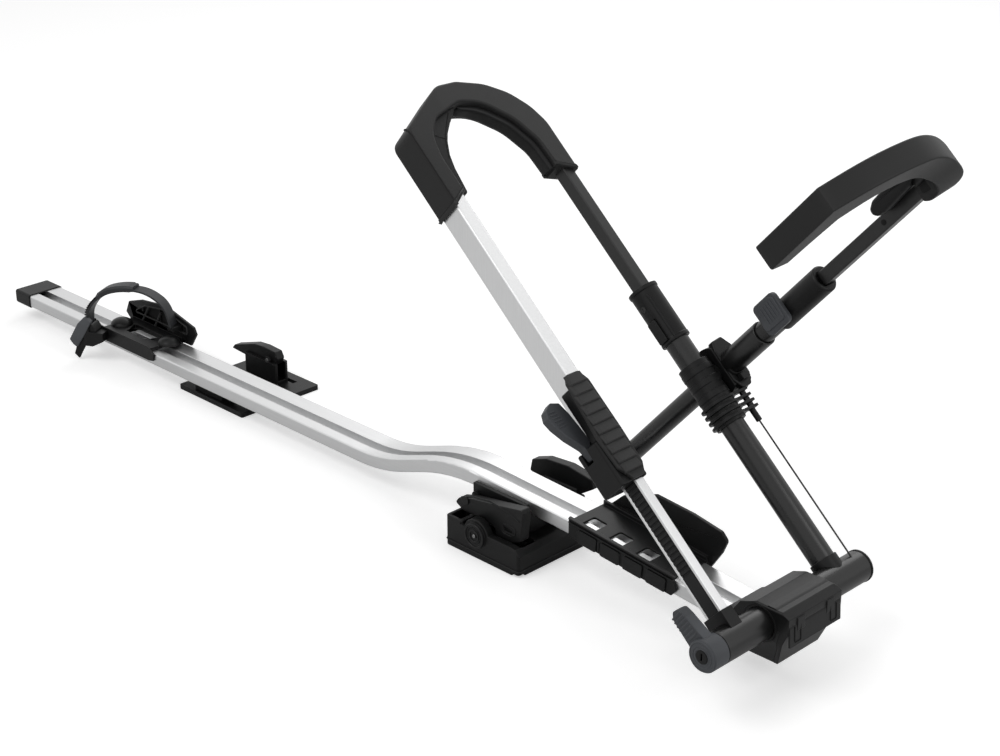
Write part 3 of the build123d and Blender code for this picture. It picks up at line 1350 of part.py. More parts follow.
def make_wheel_strap():
    chord = Vector(strap_end_x - buckle_x, strap_end_y - buckle_y, 0)
    sideways = chord.cross(Vector(0, 0, 1))
    upright = Plane(origin=(buckle_x, buckle_y, buckle_z), x_dir=chord, z_dir=sideways)
    points = outline(strap_shares, (0, 0), (chord.length, strap_rise))
    with BuildPart() as wheel_strap:
        add(band(upright, points, strap_width, strap_thickness))
    wheel_strap.part.label = "wheel_strap"
    export_step(wheel_strap.part, "parts/wheel_strap.step")
    half_width = strap_width / 2 + moving_gap + cheek_thickness
    near_side = -tray_width / 2 - moving_gap - holder_wall
    pin_middle = upright.from_local_coords(buckle_pin_place)
    pin_plane = Plane(origin=pin_middle, x_dir=chord, z_dir=sideways)
    with BuildPart() as buckle_base:
        outer_side = upright.offset(-half_width)
        plate(outer_side, outline(buckle_shares, buckle_start, buckle_size), half_width * 2)
        cheek = outline(square_shares, cheek_start, cheek_size)
        plate(outer_side, cheek, half_width * 2)
        inner_side = upright.offset(-strap_width / 2 - moving_gap)
        gap_width = strap_width + moving_gap * 2
        upper_space = outline(square_shares, (cheek_start[0], 0), cheek_size)
        plate(inner_side, upper_space, gap_width, mode=Mode.SUBTRACT)
        rear_space = outline(square_shares, cheek_start, (buckle_start[0] - cheek_start[0], overrun))
        plate(inner_side, rear_space, gap_width, mode=Mode.SUBTRACT)
        rod(pin_plane.offset(-half_width), buckle_pin_radius, half_width * 2)
        holder = level_plane(buckle_x, near_side + overrun / 2, 0)
        block(holder, overrun * 2, overrun, overrun, mode=Mode.SUBTRACT)
    buckle_base.part.label = "buckle_base"
    export_step(buckle_base.part, "parts/buckle_base.step")
    with BuildPart() as buckle_lever:
        lever_points = outline(buckle_lever_shares, buckle_lever_start, buckle_lever_size)
        plate(upright.offset(-strap_width / 2), lever_points, strap_width)
        rod(pin_plane.offset(-overrun), buckle_pin_radius + running_gap, overrun * 2, mode=Mode.SUBTRACT)
    buckle_lever.part.label = "buckle_lever"
    export_step(buckle_lever.part, "parts/buckle_lever.step")
    tail_origin = upright.offset(half_width).from_local_coords((0, tail_base))
    tail_plane = Plane(origin=tail_origin, x_dir=sideways, z_dir=chord)
    tail_points = outline(tail_shares, (0, -tail_drop), (tail_reach, tail_drop))
    with BuildPart() as strap_tail:
        add(band(tail_plane, tail_points, strap_width, strap_thickness))
    strap_tail.part.label = "strap_tail"
    export_step(strap_tail.part, "parts/strap_tail.step")


# Rear foot: a slotted plate under the tray, a tower on its far side and a cam lever
plate_rear_x = -713.0
plate_length = 153.0
plate_near_y = -20.0
plate_far_y = 128.0
plate_thickness = 8.0
plate_slot_x = -604.0
plate_slot_y = 108.0
plate_slot_length = 24.0
plate_slot_width = 8.0
clamp_foot_length = 66.0
clamp_foot_width = 50.0
clamp_foot_x = -650.0
slider_width = 11.4
slider_depth = 3.4
tower_x = -640.0
tower_y = 92.0
tower_length = 74.0
tower_width = 26.0
tower_height = 34.0
rear_pin_z = 44.0
rear_pin_x = -622.0
rear_lever_start = (-715.0, 33.0)
rear_lever_size = (112.0, 28.0)
rear_lever_shares = [
    (0, 0.1), (0.05, 0.35), (0.5, 0.93), (0.7, 1), (0.95, 0.95), (1, 0.6), (0.95, 0.2), (0.62, 0.1),
    (0.3, 0.02),
]
rear_lever_width = 14.0
tower_ear = 5.0


def make_rear_foot():
    tray_under = tray_low_top - tray_height
    with BuildPart() as rear_plate:
        middle_x = plate_rear_x + plate_length / 2
        middle_y = (plate_near_y + plate_far_y) / 2
        width = plate_far_y - plate_near_y
        block(level_plane(middle_x, middle_y, 0), plate_length, width, plate_thickness, outer_corner)
        foot = level_plane(clamp_foot_x, 0, 0)
        block(foot, clamp_foot_length, clamp_foot_width / 2, tray_under - moving_gap)
        slider = level_plane(clamp_foot_x, (channel_near_y + channel_far_y) / 2, 0)
        block(slider, clamp_foot_length, slider_width, tray_under + slider_depth)
        slot = level_plane(plate_slot_x, plate_slot_y, 0)
        block(slot, plate_slot_length, plate_slot_width, plate_thickness, mode=Mode.SUBTRACT)
    rear_plate.part.label = "rear_plate"
    export_step(rear_plate.part, "parts/rear_plate.step")
    with BuildPart() as rear_tower:
        place = level_plane(tower_x, tower_y, plate_thickness)
        block(place, tower_length, tower_width, tower_height, outer_corner)
        gap_width = rear_lever_width + moving_gap * 2
        block(place.offset(tower_ear), overrun, gap_width, overrun, mode=Mode.SUBTRACT)
        for side in (-1, 1):
            ear_y = tower_y + side * (gap_width + tower_ear) / 2
            ear_middle = (rear_pin_x, ear_y + tower_ear / 2, rear_pin_z)
            ear = Plane(origin=ear_middle, x_dir=(1, 0, 0), z_dir=-across)
            rod(ear, pin_head_radius, tower_ear)
        pin_hole = Plane(origin=(rear_pin_x, tower_y, rear_pin_z), x_dir=(1, 0, 0), z_dir=-across)
        rod(pin_hole.offset(-overrun), pin_radius, overrun * 2, mode=Mode.SUBTRACT)
    rear_tower.part.label = "rear_tower"
    export_step(rear_tower.part, "parts/rear_tower.step")
    with BuildPart() as rear_lever_pin:
        rod(pin_hole.offset(-tower_width / 2), pin_radius, tower_width)
    rear_lever_pin.part.label = "rear_lever_pin"
    export_step(rear_lever_pin.part, "parts/rear_lever_pin.step")
    with BuildPart() as rear_lever:
        points = outline(rear_lever_shares, rear_lever_start, rear_lever_size)
        plate(side_plane(tower_y + rear_lever_width / 2), points, rear_lever_width)
        rod(pin_hole.offset(-overrun), pin_radius + running_gap, overrun * 2, mode=Mode.SUBTRACT)
    rear_lever.part.label = "rear_lever"
    export_step(rear_lever.part, "parts/rear_lever.step")


make_tray_rail()
make_rear_end_cap()
make_foot_base()
make_foot_saddle()
make_near_foot_lever()
make_far_foot_lever()
make_cradle()
make_head()
make_axle()
make_knob()
make_near_leg()
make_far_leg()
make_pull_wire()
make_slide_sleeve()
make_outer_tube()
make_hook_shell()
make_handle()
make_arm()
make_clamp_lever()
make_front_hook()
make_strap_holder()
make_wheel_strap()
make_rear_foot()
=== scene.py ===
import json
import math
import bmesh
import bpy
from mathutils import Matrix, Vector
from mathutils.bvhtree import BVHTree

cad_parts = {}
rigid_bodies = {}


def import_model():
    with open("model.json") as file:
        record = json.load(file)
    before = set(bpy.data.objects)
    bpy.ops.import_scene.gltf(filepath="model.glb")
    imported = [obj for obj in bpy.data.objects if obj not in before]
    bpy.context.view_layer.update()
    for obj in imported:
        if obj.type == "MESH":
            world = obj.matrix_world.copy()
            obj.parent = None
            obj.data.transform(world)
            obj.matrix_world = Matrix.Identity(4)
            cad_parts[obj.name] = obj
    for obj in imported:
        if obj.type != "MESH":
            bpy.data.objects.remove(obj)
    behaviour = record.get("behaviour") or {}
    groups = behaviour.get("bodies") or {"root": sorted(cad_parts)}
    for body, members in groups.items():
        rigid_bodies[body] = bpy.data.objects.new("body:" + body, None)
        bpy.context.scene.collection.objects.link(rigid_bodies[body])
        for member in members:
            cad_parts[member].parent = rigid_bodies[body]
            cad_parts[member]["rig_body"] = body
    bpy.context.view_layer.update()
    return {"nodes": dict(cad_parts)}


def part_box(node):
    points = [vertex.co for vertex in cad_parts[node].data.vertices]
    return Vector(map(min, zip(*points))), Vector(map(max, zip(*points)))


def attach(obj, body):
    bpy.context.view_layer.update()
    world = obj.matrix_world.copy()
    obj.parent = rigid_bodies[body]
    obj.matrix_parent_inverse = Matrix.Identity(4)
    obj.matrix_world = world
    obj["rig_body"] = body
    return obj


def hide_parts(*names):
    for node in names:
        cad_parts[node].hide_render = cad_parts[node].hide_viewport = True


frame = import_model()
nodes = frame["nodes"]
print("frame loaded:", len(nodes), "nodes")


# A shader socket with operators, so that a pattern reads as an expression
class Sock:
    def __init__(self, look, socket):
        self.look = look
        self.socket = socket

    def math(self, operation, first, second):
        return self.look.node("ShaderNodeMath", {"operation": operation}, {0: first, 1: second})

    def __add__(self, other):
        return self.math("ADD", self, other)

    def __mul__(self, other):
        return self.math("MULTIPLY", self, other)

    def between(self, low, high):
        inputs = {"Value": self, "From Min": low, "From Max": high}
        return self.look.node("ShaderNodeMapRange", {"clamp": True}, inputs)


# One material's tree of nodes
class Look:
    def __init__(self, name):
        self.material = bpy.data.materials.new(name)
        self.material.use_nodes = True
        self.tree = self.material.node_tree
        self.tree.nodes.clear()

    def node(self, kind, settings=None, inputs=None, output=0):
        made = self.tree.nodes.new(kind)
        for key, value in (settings or {}).items():
            setattr(made, key, value)
        for key, value in (inputs or {}).items():
            if isinstance(value, Sock):
                self.tree.links.new(value.socket, made.inputs[key])
            else:
                made.inputs[key].default_value = value
        return Sock(self, made.outputs[output])

    def place(self):
        return self.node("ShaderNodeTexCoord", output="Object")

    def noise(self, scale, detail=2.0, stretch=(1, 1, 1), turn=(0, 0, 0)):
        inputs = {"Vector": self.place(), "Scale": stretch, "Rotation": turn}
        turned = self.node("ShaderNodeMapping", {}, inputs)
        return self.node("ShaderNodeTexNoise", {}, {"Vector": turned, "Scale": scale, "Detail": detail})

    def blend(self, share, first, second):
        inputs = {"Factor": share, 6: first, 7: second}  # colours, as output 2 is
        return self.node("ShaderNodeMix", {"data_type": "RGBA"}, inputs, output=2)

    def bump(self, height, strength, distance):
        return self.node("ShaderNodeBump", {}, {"Height": height, "Strength": strength, "Distance": distance})

    def edge(self):
        return self.node("ShaderNodeNewGeometry", output="Pointiness").between(0.52, 0.60)

    def finish(self, **sockets):
        names = {"colour": "Base Color", "rough": "Roughness", "metal": "Metallic", "normal": "Normal",
                 "specular": "Specular IOR Level"}
        inputs = {names[key]: value for key, value in sockets.items()}
        shader = self.node("ShaderNodeBsdfPrincipled", {}, inputs)
        out = self.tree.nodes.new("ShaderNodeOutputMaterial")
        self.tree.links.new(shader.socket, out.inputs["Surface"])
        return self.material


def tint(level, blue=1.0):
    return (level, level * (1 + (blue - 1) * 0.35), level * blue, 1.0)


def mouldedPlastic(name, level, rough, grain=2600.0, depth=0.00008, blue=1.04, shine=0.24):
    look = Look(name)
    cloud = look.noise(9.0, 3.0)
    speck = look.noise(grain, 2.0)
    plain = look.blend(cloud.between(0.35, 0.65), tint(level * 0.88, blue), tint(level * 1.14, blue))
    # lighter along convex edges: a painted edge highlight
    paintedEdgeHighlight = look.blend(look.edge() * 0.35, plain, tint(level * 2.2 + 0.01, blue))
    return look.finish(colour=paintedEdgeHighlight, rough=cloud * 0.10 + speck * 0.08 + (rough - 0.09),
                       normal=look.bump(speck, 0.55, depth), specular=shine)


def powderCoat(name, level, rough):
    look = Look(name)
    peel = look.noise(900.0, 2.0)
    cloud = look.noise(14.0, 2.0)
    return look.finish(colour=look.blend(cloud, tint(level * 0.9), tint(level * 1.1)),
                       rough=cloud * 0.08 + (rough - 0.04), normal=look.bump(peel, 0.25, 0.0001), specular=0.45)


def satinAluminium(name, stretch, turn=(0, 0, 0), rough=0.38, low=0.60, high=0.70):
    look = Look(name)
    drawn = look.noise(700.0, 3.0, stretch, turn)
    cloud = look.noise(5.0, 2.0)
    colour = look.blend(drawn, (low, low * 1.004, low * 1.01, 1), (high, high * 1.003, high * 1.006, 1))
    return look.finish(colour=colour, metal=1.0, rough=drawn * 0.12 + cloud * 0.06 + (rough - 0.09),
                       normal=look.bump(drawn, 0.12, 0.0001))


def platedSteel(name, level, rough):
    look = Look(name)
    scratch = look.noise(420.0, 4.0, (1, 1, 0.15))
    return look.finish(colour=look.blend(scratch, tint(level * 0.85), tint(level * 1.15)), metal=1.0,
                       rough=scratch * 0.16 + (rough - 0.08))


finishes = {
    "black": mouldedPlastic("blackPlastic", 0.0045, 0.40, shine=0.2),
    "fine": mouldedPlastic("fineBlackPlastic", 0.0045, 0.32, 3400.0, 0.00005, shine=0.2),
    "soft": mouldedPlastic("softHookRubber", 0.011, 0.48, 1900.0, 0.0001, 1.0),
    # near-black for thin seam lines, and painted shade at band steps, in pockets and holes and behind windows
    "seam": mouldedPlastic("seamShadow", 0.002, 0.7, 1900.0, 0.0001, 1.0),
    "grip": mouldedPlastic("gripRubber", 0.019, 0.58, 2100.0, 0.0001, 1.0),
    "grey": mouldedPlastic("greyLeverPlastic", 0.050, 0.46, blue=1.16),
    "strap": mouldedPlastic("strapPlastic", 0.022, 0.44, 1700.0, 0.00006, 1.12),
    "buckleGrey": mouldedPlastic("buckleGrey", 0.075, 0.48, blue=1.14),
    "rubber": mouldedPlastic("footRubber", 0.008, 0.75, 1500.0, 0.00012, 1.0),
    "tube": powderCoat("blackTube", 0.0055, 0.28),
    "bar": powderCoat("blackBar", 0.008, 0.36),
    "tray": satinAluminium("trayAluminium", (0.02, 1, 1)),
    "leg": satinAluminium("legAluminium", (1, 1, 0.03), (0, math.radians(48.3), 0), 0.36, 0.68, 0.80),
    "steel": platedSteel("darkSteel", 0.20, 0.38),
}
print("finishes made")


# Places of the carrier: millimetres along its own axes, turned to metres of the frame
millimetres = Matrix.Scale(0.001, 4)  # along the frame's own axes


def placeAt(origin, right, up):
    axes = Matrix((right, up, right.cross(up))).transposed().to_4x4()
    return Matrix.Translation(origin) @ axes @ millimetres


def leaning(degrees):
    turn = math.radians(degrees)
    return Vector((math.cos(turn), 0, math.sin(turn)))


across = Vector((0, 1, 0))
hoopUp = leaning(138.3)
hoopFront = across.cross(hoopUp)
armOut = leaning(48.4)
armUp = armOut.cross(across)
axle = Vector((0.438, 0, 0.0885))
armPivot = Vector((0.22608, 0, 0.27731))
hoopFace = placeAt(axle, across, hoopUp)  # x across, y up the hoop, z to its front
hoopSide = placeAt(axle, hoopFront, hoopUp)  # x to the hoop's front, y up it, z to the near side
armSide = placeAt(armPivot, armOut, armUp)  # x out the arm, y to its top, z to the near side
armFace = placeAt(armPivot, across, armOut)  # x across, y out the arm, z down from its top
sideOn = placeAt(Vector((0, 0, 0)), Vector((1, 0, 0)), Vector((0, 0, 1)))  # x ahead, y up, z near
knobUp = leaning(138.3 + 5.4)
knobFace = placeAt(axle, across.cross(knobUp), knobUp)  # as hoopSide, with the tab a little further back
strapAlong = Vector((0.8888, 0.4583, 0))
strapSide = placeAt(Vector((-0.903, -0.046, 0.051)), strapAlong, Vector((0, 0, 1)))  # x along the strap, y up


# Mesh shapes in millimetres
def rounded(points, radius, steps=5):
    turned = []
    count = len(points)
    radii = radius if isinstance(radius, (list, tuple)) else [radius] * count
    for number, point in enumerate(points):
        here = Vector(point)
        back = Vector(points[number - 1]) - here
        ahead = Vector(points[(number + 1) % count]) - here
        angle = back.angle(ahead)
        if radii[number] <= 0 or angle > math.radians(176):
            turned.append(here)
            continue
        cut = min(radii[number] / math.tan(angle / 2), back.length * 0.49, ahead.length * 0.49)
        start, end = here + back.normalized() * cut, here + ahead.normalized() * cut
        for step in range(steps + 1):
            share = step / steps
            turned.append(start * (1 - share) ** 2 + here * 2 * share * (1 - share) + end * share ** 2)
    return turned


# A soft curve through rows of values, with one row that may stay crisp
def smoothed(values, steps, crisp=None):
    line = []
    for number in range(len(values) - 1):
        before = values[number - 1] if number and number != crisp else values[number]
        after = values[number + 2] if number + 2 < len(values) and number + 1 != crisp else values[number + 1]
        a, b, c, d = before, values[number], values[number + 1], after
        for step in range(steps):
            t = step / steps
            line.append([0.5 * (2 * q + (r - p) * t + (2 * p - 5 * q + 4 * r - s) * t * t
                                + (3 * q - p - 3 * r + s) * t ** 3) for p, q, r, s in zip(a, b, c, d)])
    return line + [list(values[-1])]


def prism(points, low, high, bevel=0.0, segments=2):
    shape = bmesh.new()
    bottom = [shape.verts.new((point[0], point[1], low)) for point in points]
    top = [shape.verts.new((point[0], point[1], high)) for point in points]
    count = len(points)
    for number in range(count):
        after = (number + 1) % count
        shape.faces.new((bottom[number], bottom[after], top[after], top[number]))
    caps = [shape.faces.new(list(reversed(bottom))), shape.faces.new(top)]
    bmesh.ops.recalc_face_normals(shape, faces=shape.faces)
    if bevel:
        edges = list({edge for cap in caps for edge in cap.edges})
        bmesh.ops.bevel(shape, geom=edges, offset=bevel, segments=segments, profile=0.5, affect="EDGES")
    return shape


def brick(middle, size, corner=0.6, bevel=0.4):
    x, y, z = (value / 2 for value in size)
    points = rounded([(-x, -y), (x, -y), (x, y), (-x, y)], corner, 3)
    shape = prism(points, -z, z, bevel)
    bmesh.ops.translate(shape, verts=shape.verts, vec=middle)
    return shape


def turnedShape(profile, steps=32, middle=(0, 0, 0)):
    shape = bmesh.new()
    rings = []
    for radius, height in profile:
        if radius < 0.001:
            rings.append([shape.verts.new((0, 0, height))])
        else:
            turns = (2 * math.pi * step / steps for step in range(steps))
            rings.append([shape.verts.new((radius * math.cos(turn), radius * math.sin(turn), height))
                          for turn in turns])
    for low, high in zip(rings, rings[1:]):
        for step in range(steps):
            after = (step + 1) % steps
            corners = [low[step % len(low)], low[after % len(low)], high[after % len(high)], high[step % len(high)]]
            corners = [corner for number, corner in enumerate(corners) if corner not in corners[:number]]
            if len(corners) > 2:
                shape.faces.new(corners)
    for ring in (rings[0], rings[-1]):
        if len(ring) > 1:
            shape.faces.new(ring)
    bmesh.ops.recalc_face_normals(shape, faces=shape.faces)
    bmesh.ops.translate(shape, verts=shape.verts, vec=middle)
    return shape


def loft(sections, closed=False):
    shape = bmesh.new()
    rings = [[shape.verts.new(point) for point in section] for section in sections]
    count = len(rings[0])
    for low, high in list(zip(rings, rings[1:])) + ([(rings[-1], rings[0])] if closed else []):
        for number in range(count):
            after = (number + 1) % count
            shape.faces.new((low[number], low[after], high[after], high[number]))
    if not closed:
        shape.faces.new(rings[0])
        shape.faces.new(rings[-1])
    bmesh.ops.recalc_face_normals(shape, faces=shape.faces)
    return shape


# Which way a path runs at one of its points
def heading(spots, number, closed=False):
    count = len(spots)
    before = spots[number - 1] if closed or number else spots[number]
    after = spots[(number + 1) % count] if closed or number < count - 1 else spots[number]
    return (after - before).normalized()


def wire(points, radius, sides=8, closed=False):
    spots = [Vector(point) for point in points]
    turns = [2 * math.pi * side / sides for side in range(sides)]
    rings = []
    out = None
    for number, spot in enumerate(spots):
        ahead = heading(spots, number, closed)
        if out is None:
            out = ahead.orthogonal().normalized()
        out = (out - ahead * out.dot(ahead)).normalized()
        other = ahead.cross(out)
        rings.append([spot + (out * math.cos(turn) + other * math.sin(turn)) * radius for turn in turns])
    return loft(rings, closed)


# Sections across a flat path: section(share) gives pairs of side and rise there
def swept(spots, section):
    rings = []
    for number, spot in enumerate(spots):
        ahead = heading(spots, number)
        left = Vector((-ahead.y, ahead.x))
        pairs = section(number / (len(spots) - 1))
        rings.append([(*(spot + left * rise), side) for side, rise in pairs])
    return loft(rings)


def meshOf(name, shape):
    mesh = bpy.data.meshes.new(name)
    shape.to_mesh(mesh)
    shape.free()
    return mesh


def linked(name, data):
    holder = bpy.data.objects.new(name, data)
    bpy.context.collection.objects.link(holder)
    return holder


def evaluated(holder):
    bpy.context.view_layer.update()
    return bpy.data.meshes.new_from_object(holder.evaluated_get(bpy.context.evaluated_depsgraph_get()))


def joined(*shapes):
    whole = bmesh.new()
    for shape in shapes:
        mesh = meshOf("part", shape)
        whole.from_mesh(mesh)
        bpy.data.meshes.remove(mesh)
    return whole


def setPiece(name, shape, place, body, finish, replaced=(), sharp=34):
    if place is not None:
        bmesh.ops.transform(shape, matrix=place, verts=shape.verts)
    settle(name, meshOf(name, shape), body, finish, replaced, sharp)


def settle(name, mesh, body, finish, replaced, sharp):
    for polygon in mesh.polygons:
        polygon.use_smooth = True
    mesh.set_sharp_from_angle(angle=math.radians(sharp))
    mesh.materials.clear()
    mesh.materials.append(finishes[finish])
    piece = linked(name, mesh)
    weighted = piece.modifiers.new("weighted", "WEIGHTED_NORMAL")
    weighted.keep_sharp = True
    final = evaluated(piece)
    piece.modifiers.clear()
    piece.data = final
    final.name = name
    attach(piece, body)
    if replaced:
        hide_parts(*replaced)


# Copies of the frame's nodes with rounded edges
def ofFrame(node):
    shape = bmesh.new()
    shape.from_mesh(nodes[node].data)
    bmesh.ops.remove_doubles(shape, verts=shape.verts, dist=0.00002)
    bmesh.ops.dissolve_limit(shape, angle_limit=math.radians(0.7), verts=shape.verts, edges=shape.edges)
    return shape


def softened(shape, width, segments):
    shape.normal_update()
    plain = BVHTree.FromBMesh(shape)
    limit = math.radians(24)
    edges = [edge for edge in shape.edges if len(edge.link_faces) == 2 and edge.calc_face_angle(0) > limit]
    bmesh.ops.bevel(shape, geom=edges, offset=width * 0.001, segments=segments, profile=0.5, affect="EDGES",
                    loop_slide=True, clamp_overlap=False)
    for vertex in shape.verts:  # a corner that shot out goes back to the surface
        found = plain.find_nearest(vertex.co)
        if found[3] > width * 0.0005:
            vertex.co = found[0]
    bmesh.ops.remove_doubles(shape, verts=shape.verts, dist=0.00001)


# A raised band: what lies past a plane, within reach of a point, is pushed out
def banded(shape, place, point, aim, rise, reach):
    spot = place @ Vector(point)
    along = (place.to_3x3() @ Vector(aim)).normalized()
    step = 0.0005
    for shift in (0.0, step):
        everything = shape.verts[:] + shape.edges[:] + shape.faces[:]
        bmesh.ops.bisect_plane(shape, geom=everything, plane_co=spot + along * shift, plane_no=along, dist=0.000001)
    shape.normal_update()
    for vertex in shape.verts:
        past = (vertex.co - spot).dot(along)
        if past > step * 0.9 and (vertex.co - spot).length < reach * 0.001:
            out = vertex.normal - along * vertex.normal.dot(along)
            if out.length > 0.55:
                vertex.co += out.normalized() * rise * 0.001


# A wide window through the rear holder's deck
deckWindow = {"outline": [(-854, -11), (-870, 14), (-798, 14.5), (-783, -6)], "low": 47.0, "high": 58.0}


def windowed(shape, settings):
    cutter = prism(rounded(settings["outline"], 3.5, 4), settings["low"], settings["high"])
    bmesh.ops.transform(cutter, matrix=millimetres, verts=cutter.verts)
    deck, knife = linked("deck", meshOf("deck", shape)), linked("deckCutter", meshOf("deckCutter", cutter))
    cut = deck.modifiers.new("cut", "BOOLEAN")
    cut.operation = "DIFFERENCE"
    cut.object = knife
    whole = evaluated(deck)
    result = bmesh.new()
    result.from_mesh(whole)
    for holder in (deck, knife):
        bpy.data.objects.remove(holder)
    bpy.data.meshes.remove(whole)
    return result


# Repeated things: one small shape set along a row or a path
class Tree:
    def __init__(self, name, inputs):
        self.tree = bpy.data.node_groups.new(name, "GeometryNodeTree")
        face = self.tree.interface
        face.new_socket("Geometry", in_out="INPUT", socket_type="NodeSocketGeometry")
        for label, kind, value in inputs:
            socket = face.new_socket(label, in_out="INPUT", socket_type=kind)
            if value is not None:
                socket.default_value = value
        face.new_socket("Geometry", in_out="OUTPUT", socket_type="NodeSocketGeometry")
        self.start = self.tree.nodes.new("NodeGroupInput")
        self.end = self.tree.nodes.new("NodeGroupOutput")

    def given(self, label):
        return self.start.outputs[label]

    def add(self, kind, settings=None, inputs=None, output=0):
        made = self.tree.nodes.new(kind)
        for key, value in (settings or {}).items():
            setattr(made, key, value)
        for key, value in (inputs or {}).items():
            if isinstance(value, bpy.types.NodeSocket):
                self.tree.links.new(value, made.inputs[key])
            else:
                made.inputs[key].default_value = value
        return made.outputs[output]

    def close(self, instances):
        real = self.add("GeometryNodeRealizeInstances", {}, {"Geometry": instances})
        coated = self.add("GeometryNodeSetMaterial", {}, {"Geometry": real, "Material": self.given("Material")})
        self.tree.links.new(coated, self.end.inputs[0])
        return self.tree


def rowTree():
    tree = Tree("rowOfPieces", [("Count", "NodeSocketInt", 5), ("Start", "NodeSocketVector", (0, 0, 0)),
                                ("Step", "NodeSocketVector", (0, 1, 0)), ("Taper", "NodeSocketFloat", 0.0),
                                ("Last", "NodeSocketFloat", 4.0), ("Material", "NodeSocketMaterial", None)])
    spacing = {"Count": tree.given("Count"), "Start Location": tree.given("Start"), "Offset": tree.given("Step")}
    line = tree.add("GeometryNodeMeshLine", {"mode": "OFFSET"}, spacing)
    index = tree.add("GeometryNodeInputIndex")
    share = tree.add("ShaderNodeMath", {"operation": "DIVIDE"}, {0: index, 1: tree.given("Last")})
    side = tree.add("ShaderNodeMath", {"operation": "MULTIPLY_ADD"}, {0: share, 1: 2.0, 2: -1.0})
    square = tree.add("ShaderNodeMath", {"operation": "MULTIPLY"}, {0: side, 1: side})
    narrow = tree.add("ShaderNodeMath", {"operation": "MULTIPLY"}, {0: square, 1: tree.given("Taper")})
    width = tree.add("ShaderNodeMath", {"operation": "SUBTRACT"}, {0: 1.0, 1: narrow})
    scale = tree.add("ShaderNodeCombineXYZ", {}, {"X": width, "Y": 1.0, "Z": 1.0})
    placed = tree.add("GeometryNodeInstanceOnPoints", {},
                      {"Points": line, "Instance": tree.given("Geometry"), "Scale": scale})
    return tree.close(placed)


def pathTree():
    tree = Tree("piecesOnPath", [("Path", "NodeSocketObject", None), ("Count", "NodeSocketInt", 8),
                                 ("Material", "NodeSocketMaterial", None)])
    path = tree.add("GeometryNodeObjectInfo", {}, {"Object": tree.given("Path")}, "Geometry")
    spaced = tree.add("GeometryNodeResampleCurve", {}, {"Curve": path, "Count": tree.given("Count")})
    tangent = tree.add("GeometryNodeInputTangent")
    apart = tree.tree.nodes.new("ShaderNodeSeparateXYZ")
    tree.tree.links.new(tangent, apart.inputs[0])
    turn = tree.add("ShaderNodeMath", {"operation": "ARCTAN2"}, {0: apart.outputs[1], 1: apart.outputs[0]})
    spin = tree.add("ShaderNodeCombineXYZ", {}, {"X": 0.0, "Y": 0.0, "Z": turn})
    placed = tree.add("GeometryNodeInstanceOnPoints", {},
                      {"Points": spaced, "Instance": tree.given("Geometry"), "Rotation": spin})
    return tree.close(placed)


trees = {"row": rowTree(), "path": pathTree()}


def repeatPiece(name, shape, kind, values, place, body, finish, sharp=34):
    holder = linked(name + "Maker", meshOf(name, shape))
    modifier = holder.modifiers.new("repeat", "NODES")
    modifier.node_group = trees[kind]
    values = dict(values, Material=finishes[finish])
    for item in trees[kind].interface.items_tree:
        if item.in_out == "INPUT" and item.name in values:
            modifier[item.identifier] = values[item.name]
    whole = evaluated(holder)
    bpy.data.objects.remove(holder)
    whole.transform(place)
    settle(name, whole, body, finish, (), sharp)


def row(name, shape, count, start, step, place, body, finish, taper=0.0, sharp=34):
    values = {"Count": count, "Start": start, "Step": step, "Taper": taper, "Last": count - 1.0}
    repeatPiece(name, shape, "row", values, place, body, finish, sharp)


def onPath(name, shape, line, count, place, body, finish):
    curve = bpy.data.curves.new(name + "Line", "CURVE")
    curve.dimensions = "3D"
    spline = curve.splines.new("POLY")
    spline.points.add(len(line) - 1)
    for point, spot in zip(spline.points, line):
        point.co = (spot.x, spot.y, 0, 1)
    holder = linked(name + "Line", curve)
    repeatPiece(name, shape, "path", {"Path": holder, "Count": count}, place, body, finish)
    bpy.data.objects.remove(holder)


